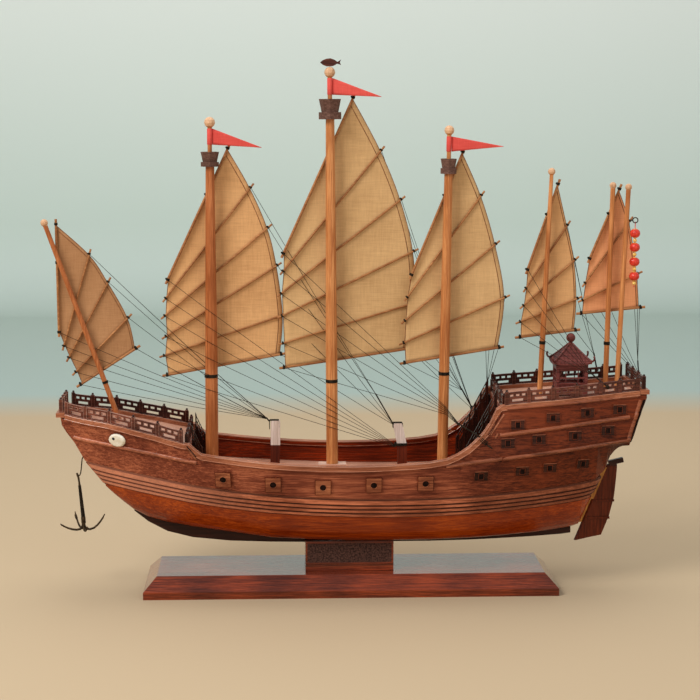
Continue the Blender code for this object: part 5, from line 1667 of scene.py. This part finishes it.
paths = over_post(POST_1, 9.0) + over_post(POST_2, 5.0)
for z in (147.2, 146.3, 145.4):
    centre = ((POST_2[0].x + POST_2[1].x) / 2 / MM + 0.6, 0, z)
    paths.append(loop_path(centre, (1, 0, 0), (0, 1, 0), 6.0, 4.6))
for fast, side in ((PORT_SLOPE, -1), (STARBOARD_SLOPE, 1)):
    for k in (-1, 0, 1):
        centre = Vector((fast.x + 3.0, side * 66.5, fast.z - 3.5)) + SLOPE * k * 1.6
        paths.append(loop_path(centre, (0, 1, 0), SLOPE.cross(Vector((0, 1, 0))), 5.2, 3.2))
    start = Vector((fast.x + 4.0, side * 71.0, fast.z - 4.5))
    for k in (0, 1):
        bend, end = Vector((3.0, side * 0.6, -2.6 - k)), Vector((6.0 + k, side * 0.8, -4.5 - k))
        paths.append([start, start + bend, start + end])
rods_along("belaying_turns", paths, 0.45, "thread", sides=6)
print("turns:", len(paths))

# %% [markdown]
# ## Pavilion
#
# On the poop stands a small pavilion under a tiled roof: a low pyramid whose corners lift a
# little and end in curls, with a ball on top. The roof's height is one formula of x and y,
# so the shell, the rows of round tiles and the thick corner ribs all follow the same
# surface. It sits on a hollow house of posts, panels and open lattices.

# %% Pavilion roof
HOUSE_X, HOUSE_Y = 222.8, -7.5
ROOF_WIDE, ROOF_DEEP = 19.0, 17.5       # from the middle to the eaves
EAVES_Z, APEX_Z = 230.8, 250.6
CORNER_LIFT = 1.8
ROOF_THICK = 1.5
TILE_ROWS = 9
TILE_STEPS = 8
TILES_REACH = 0.88      # how far towards the corners the rows of tiles go
TILES_HEAD, TILES_FOOT = 0.12, 1.02     # where they start and end, from the middle
RIB_STEPS = 12
RING_SIDE = 8
CORNERS = [(x, y) for x in SIDES for y in SIDES]
# From the middle: share of the way to the eaves, height above the roof's surface
SHELL = ((0.06, 0), (0.3, 0), (0.5, 0), (0.7, 0), (0.85, 0), (0.95, 0), (1.0, 0),
         (1.0, -ROOF_THICK), (0.78, -ROOF_THICK - 3.4))
# Each step of a corner's curl: outwards, up
CURL = ((1.2, 0.5), (1.2, 1.1), (0.6, 1.5), (-0.2, 1.4), (-0.8, 0.7))
FINIAL = ((1.9, -3.0), (2.4, -0.4), (1.6, 0.2), (3.0, 1.2), (4.3, 3.0), (4.7, 4.8), (4.3, 6.6),
          (3.1, 8.3), (1.4, 9.3))


def roof_point(x, y, lift=0.0):
    """A point on the roof, so far above its surface; x and y are from the pavilion's middle."""
    wide, deep = abs(x) / ROOF_WIDE, abs(y) / ROOF_DEEP
    z = APEX_Z - (APEX_Z - EAVES_Z) * max(wide, deep) + CORNER_LIFT * min(wide, deep) ** 4
    return Vector((HOUSE_X + x, HOUSE_Y + y, z + lift))


def square_loop(share):
    """Points (x, y) round the roof at a share of the way from its middle to the eaves."""
    turns = ((1, -1), (1, 1), (-1, 1), (-1, -1))
    corners = [Vector((x * ROOF_WIDE, y * ROOF_DEEP)) * share for x, y in turns]
    pairs = zip(corners, corners[1:] + corners[:1])
    return [start.lerp(end, i / RING_SIDE) for start, end in pairs for i in range(RING_SIDE)]


bm = bmesh.new()
add_rings(bm, [[roof_point(x, y, lift) for x, y in square_loop(share)] for share, lift in SHELL])
roof = piece("roof_shell", bm, "pavilion_wood")
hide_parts("pavilion_roof")

tiles, ribs = [], []
for turned, wide, deep in ((False, ROOF_WIDE, ROOF_DEEP), (True, ROOF_DEEP, ROOF_WIDE)):
    for end in SIDES:
        for k in range(TILE_ROWS):
            offset = (k / (TILE_ROWS - 1) * 2 - 1) * TILES_REACH
            first = max(abs(offset), TILES_HEAD)
            run = TILES_FOOT - first
            shares = [first + run * i / TILE_STEPS for i in range(TILE_STEPS + 1)]
            spots = [(end * wide * share, offset * deep) for share in shares]
            tiles.append([roof_point(*(spot[::-1] if turned else spot), 0.3) for spot in spots])
for x, y in CORNERS:
    shares = [i / RIB_STEPS for i in range(1, RIB_STEPS + 1)]
    path = [roof_point(x * ROOF_WIDE * share, y * ROOF_DEEP * share, 0.7) for share in shares]
    away = Vector((x, y, 0)).normalized()
    for out, rise in CURL:
        path.append(path[-1] + away * out + Vector((0, 0, rise)))
    ribs.append(path)
rods_along("roof_tiles", tiles, 0.5, "pavilion_wood", sides=6)
rods_along("roof_ribs", ribs, 1.0, "pavilion_wood", sides=8)
bm = bmesh.new()
add_turned(bm, FINIAL, (HOUSE_X, HOUSE_Y, APEX_Z), sides=24)
piece("roof_ball", bm, "pavilion_wood", smooth=50)
print("tile rows:", len(tiles))

# %% Pavilion house
HOUSE_WIDE, HOUSE_DEEP = 14.4, 11.5     # from the middle to the corner posts
HOUSE_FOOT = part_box("pavilion_body")[0].z / MM
HOUSE_HEAD = 229.4
POST = 2.8
# Boards round the house: foot and head above its own foot, thickness, how far out
LEVELS = ((0.0, 2.6, 2.4, 0.4), (2.6, 10.0, 1.0, 0.0), (10.0, 11.8, 2.0, 0.3),
          (15.9, 17.3, 1.2, 0.1), (23.9, 26.0, 1.2, 0.0), (26.0, 29.6, 2.6, 0.6))
PANEL_Z, LONG_BAR_Z, SHORT_BAR_Z = 6.3, 17.8, 16.6      # middles, above the foot
PANEL_OUT = 0.4


def house_block(x, y, z, size, bevel=0.0):
    """A block of the house; its place is from the middle of the house's foot."""
    add_block(bm, (HOUSE_X + x, HOUSE_Y + y, HOUSE_FOOT + z), size, bevel=bevel)


bm = bmesh.new()
tall = HOUSE_HEAD - HOUSE_FOOT
for x, y in CORNERS:
    house_block(x * HOUSE_WIDE, y * HOUSE_DEEP, tall / 2, (POST, POST, tall), 0.4)
for low, high, thick, out in LEVELS:
    for end in SIDES:
        z, board = (low + high) / 2, high - low
        house_block(0, end * (HOUSE_DEEP + out), z, (2 * HOUSE_WIDE, thick, board), 0.2)
        house_block(end * (HOUSE_WIDE + out), 0, z, (thick, 2 * HOUSE_DEEP, board), 0.2)
house_block(0, 0, tall + 0.2, (2 * HOUSE_WIDE + 3, 2 * HOUSE_DEEP + 3, 1.6), 0.2)
for end in SIDES:
    for k in (-2, -1, 0, 1, 2):
        if k:
            house_block(k * 6.2, end * HOUSE_DEEP, LONG_BAR_Z, (0.9, 1.0, 12.4))
        house_block(k * 4.6, end * (HOUSE_DEEP + PANEL_OUT), PANEL_Z, (3.4, 1.0, 5.0), 0.3)
        house_block(end * HOUSE_WIDE, k * 4.3, SHORT_BAR_Z, (1.0, 0.8, 9.8))
        house_block(end * (HOUSE_WIDE + PANEL_OUT), k * 4.3, PANEL_Z, (1.0, 3.2, 5.0), 0.3)
house = piece("pavilion_house", bm, "pavilion_wood")
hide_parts("pavilion_body")
print("pavilion from", round(HOUSE_FOOT, 1), "to", APEX_Z)

# %% [markdown]
# ## Pedestal
#
# The block between the stand and the keel has a dark field on each long face, sunk in a
# plain frame of four strips. The field is a matted ground, such as a carver makes with a
# punch, so its finish is mottled in small dots and mirrors nearly nothing.

# %% Pedestal fields
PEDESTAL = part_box("stand_pedestal")
BLOCK_LOW, BLOCK_HIGH = PEDESTAL[0] / MM, PEDESTAL[1] / MM
FIELD_FOOT, FIELD_HEAD = 7.0, 0.6       # plain wood below and above the frame
EDGE = 1.8              # width of the frame's strips
STRIP_THICK, FIELD_THICK = 1.2, 0.5
PROUD = 0.15            # their middles stand out from the block
field, border = bmesh.new(), bmesh.new()
middle_x = (BLOCK_LOW.x + BLOCK_HIGH.x) / 2
wide = BLOCK_HIGH.x - BLOCK_LOW.x
field_low, field_high = BLOCK_LOW.z + FIELD_FOOT, BLOCK_HIGH.z - FIELD_HEAD
middle_z, tall = (field_low + field_high) / 2, field_high - field_low
for side in SIDES:
    y = side * (BLOCK_HIGH.y + PROUD)
    add_block(field, (middle_x, y, middle_z), (wide - 2 * EDGE, FIELD_THICK, tall - 2 * EDGE))
    for z in (field_low + EDGE / 2, field_high - EDGE / 2):
        add_block(border, (middle_x, y, z), (wide - 0.4, STRIP_THICK, EDGE), bevel=0.3)
    for x in (BLOCK_LOW.x + EDGE / 2 + 0.2, BLOCK_HIGH.x - EDGE / 2 - 0.2):
        add_block(border, (x, y, middle_z), (EDGE, STRIP_THICK, tall - 2 * EDGE), bevel=0.3)
piece("pedestal_fields", field, "matted_ground")
piece("pedestal_borders", border, "stand_wood")
print("pedestal fields:", len(SIDES), "of", round(wide), "by", round(tall), "mm")

# %% [markdown]
# ## Floor and light
#
# The model stands on a plain pale floor, which turns grey a metre behind it and bends up
# into a pale wall. The wall stands well back, so that a camera that walks round the model
# stays in front of it. The glossy stand mirrors that wall, so the wall has to be bright.
# The light is soft and comes mostly from the upper left, with a weaker one from the right
# so that the shaded sides of the masts keep their colour.

# %% Stage
FLOOR_FRONT, FLOOR_BACK, BEND, WALL_HEAD = -6000, 2300, 200, 3600
FLOOR_HALF = 8000
BEND_STEPS = 8

# From the front of the floor to the head of the wall: y, z
profile = [(FLOOR_FRONT, 0), (FLOOR_BACK, 0)]
for i in range(1, BEND_STEPS + 1):
    a = math.pi / 2 * i / BEND_STEPS
    profile.append((FLOOR_BACK + BEND * math.sin(a), BEND * (1 - math.cos(a))))
profile.append((FLOOR_BACK + BEND, WALL_HEAD))
bm = bmesh.new()
add_grid(bm, [[(x, y, z) for y, z in profile] for x in (-FLOOR_HALF, FLOOR_HALF)])
floor = new_object("floor", to_mesh("floor", bm, closed=False))
floor.data.shade_smooth()
ground = Look("floor_and_wall", roughness=0.75)
# Millimetres back over the floor and then up the wall, and the colour there
TONES = ((1000, (0.50, 0.375, 0.235)), (1221, (0.38, 0.46, 0.415)), (2300, (0.46, 0.54, 0.48)),
         (2560, (0.61, 0.69, 0.62)), (2736, (0.68, 0.76, 0.68)), (3364, (0.94, 0.98, 0.92)))
back = (ground.along("Y") + ground.along("Z")) / TONES[-1][0]
ground.finish(base_color=ground.ramp(back, [(far / TONES[-1][0], tone) for far, tone in TONES]))
floor.data.materials.append(ground.material)

# Name, place in metres, size, power
LIGHTS = (
    ("key", (-1.4, -1.3, 1.8), 1.0, 42.0),
    ("fill", (1.5, -1.6, 0.9), 1.6, 8.0),
    ("top", (0.1, 0.5, 2.1), 1.6, 18.0),
)
LIT = Vector((0, 0, 0.25))              # the point that the lights are turned to
DAYLIGHT, DAYLIGHT_POWER = (0.93, 0.96, 1.0, 1.0), 0.55
for name, place, size, power in LIGHTS:
    lamp = new_object(name, bpy.data.lights.new(name, "AREA"))
    lamp.data.size = size
    lamp.data.energy = power
    lamp.location = place
    lamp.rotation_euler = (LIT - Vector(place)).to_track_quat("-Z", "Y").to_euler()

world = bpy.data.worlds.new("studio")
bpy.context.scene.world = world
world.use_nodes = True
sky = world.node_tree.nodes["Background"].inputs
sky["Color"].default_value = DAYLIGHT
sky["Strength"].default_value = DAYLIGHT_POWER
bpy.context.scene.view_settings.view_transform = "Standard"
print("lights:", len(LIGHTS))
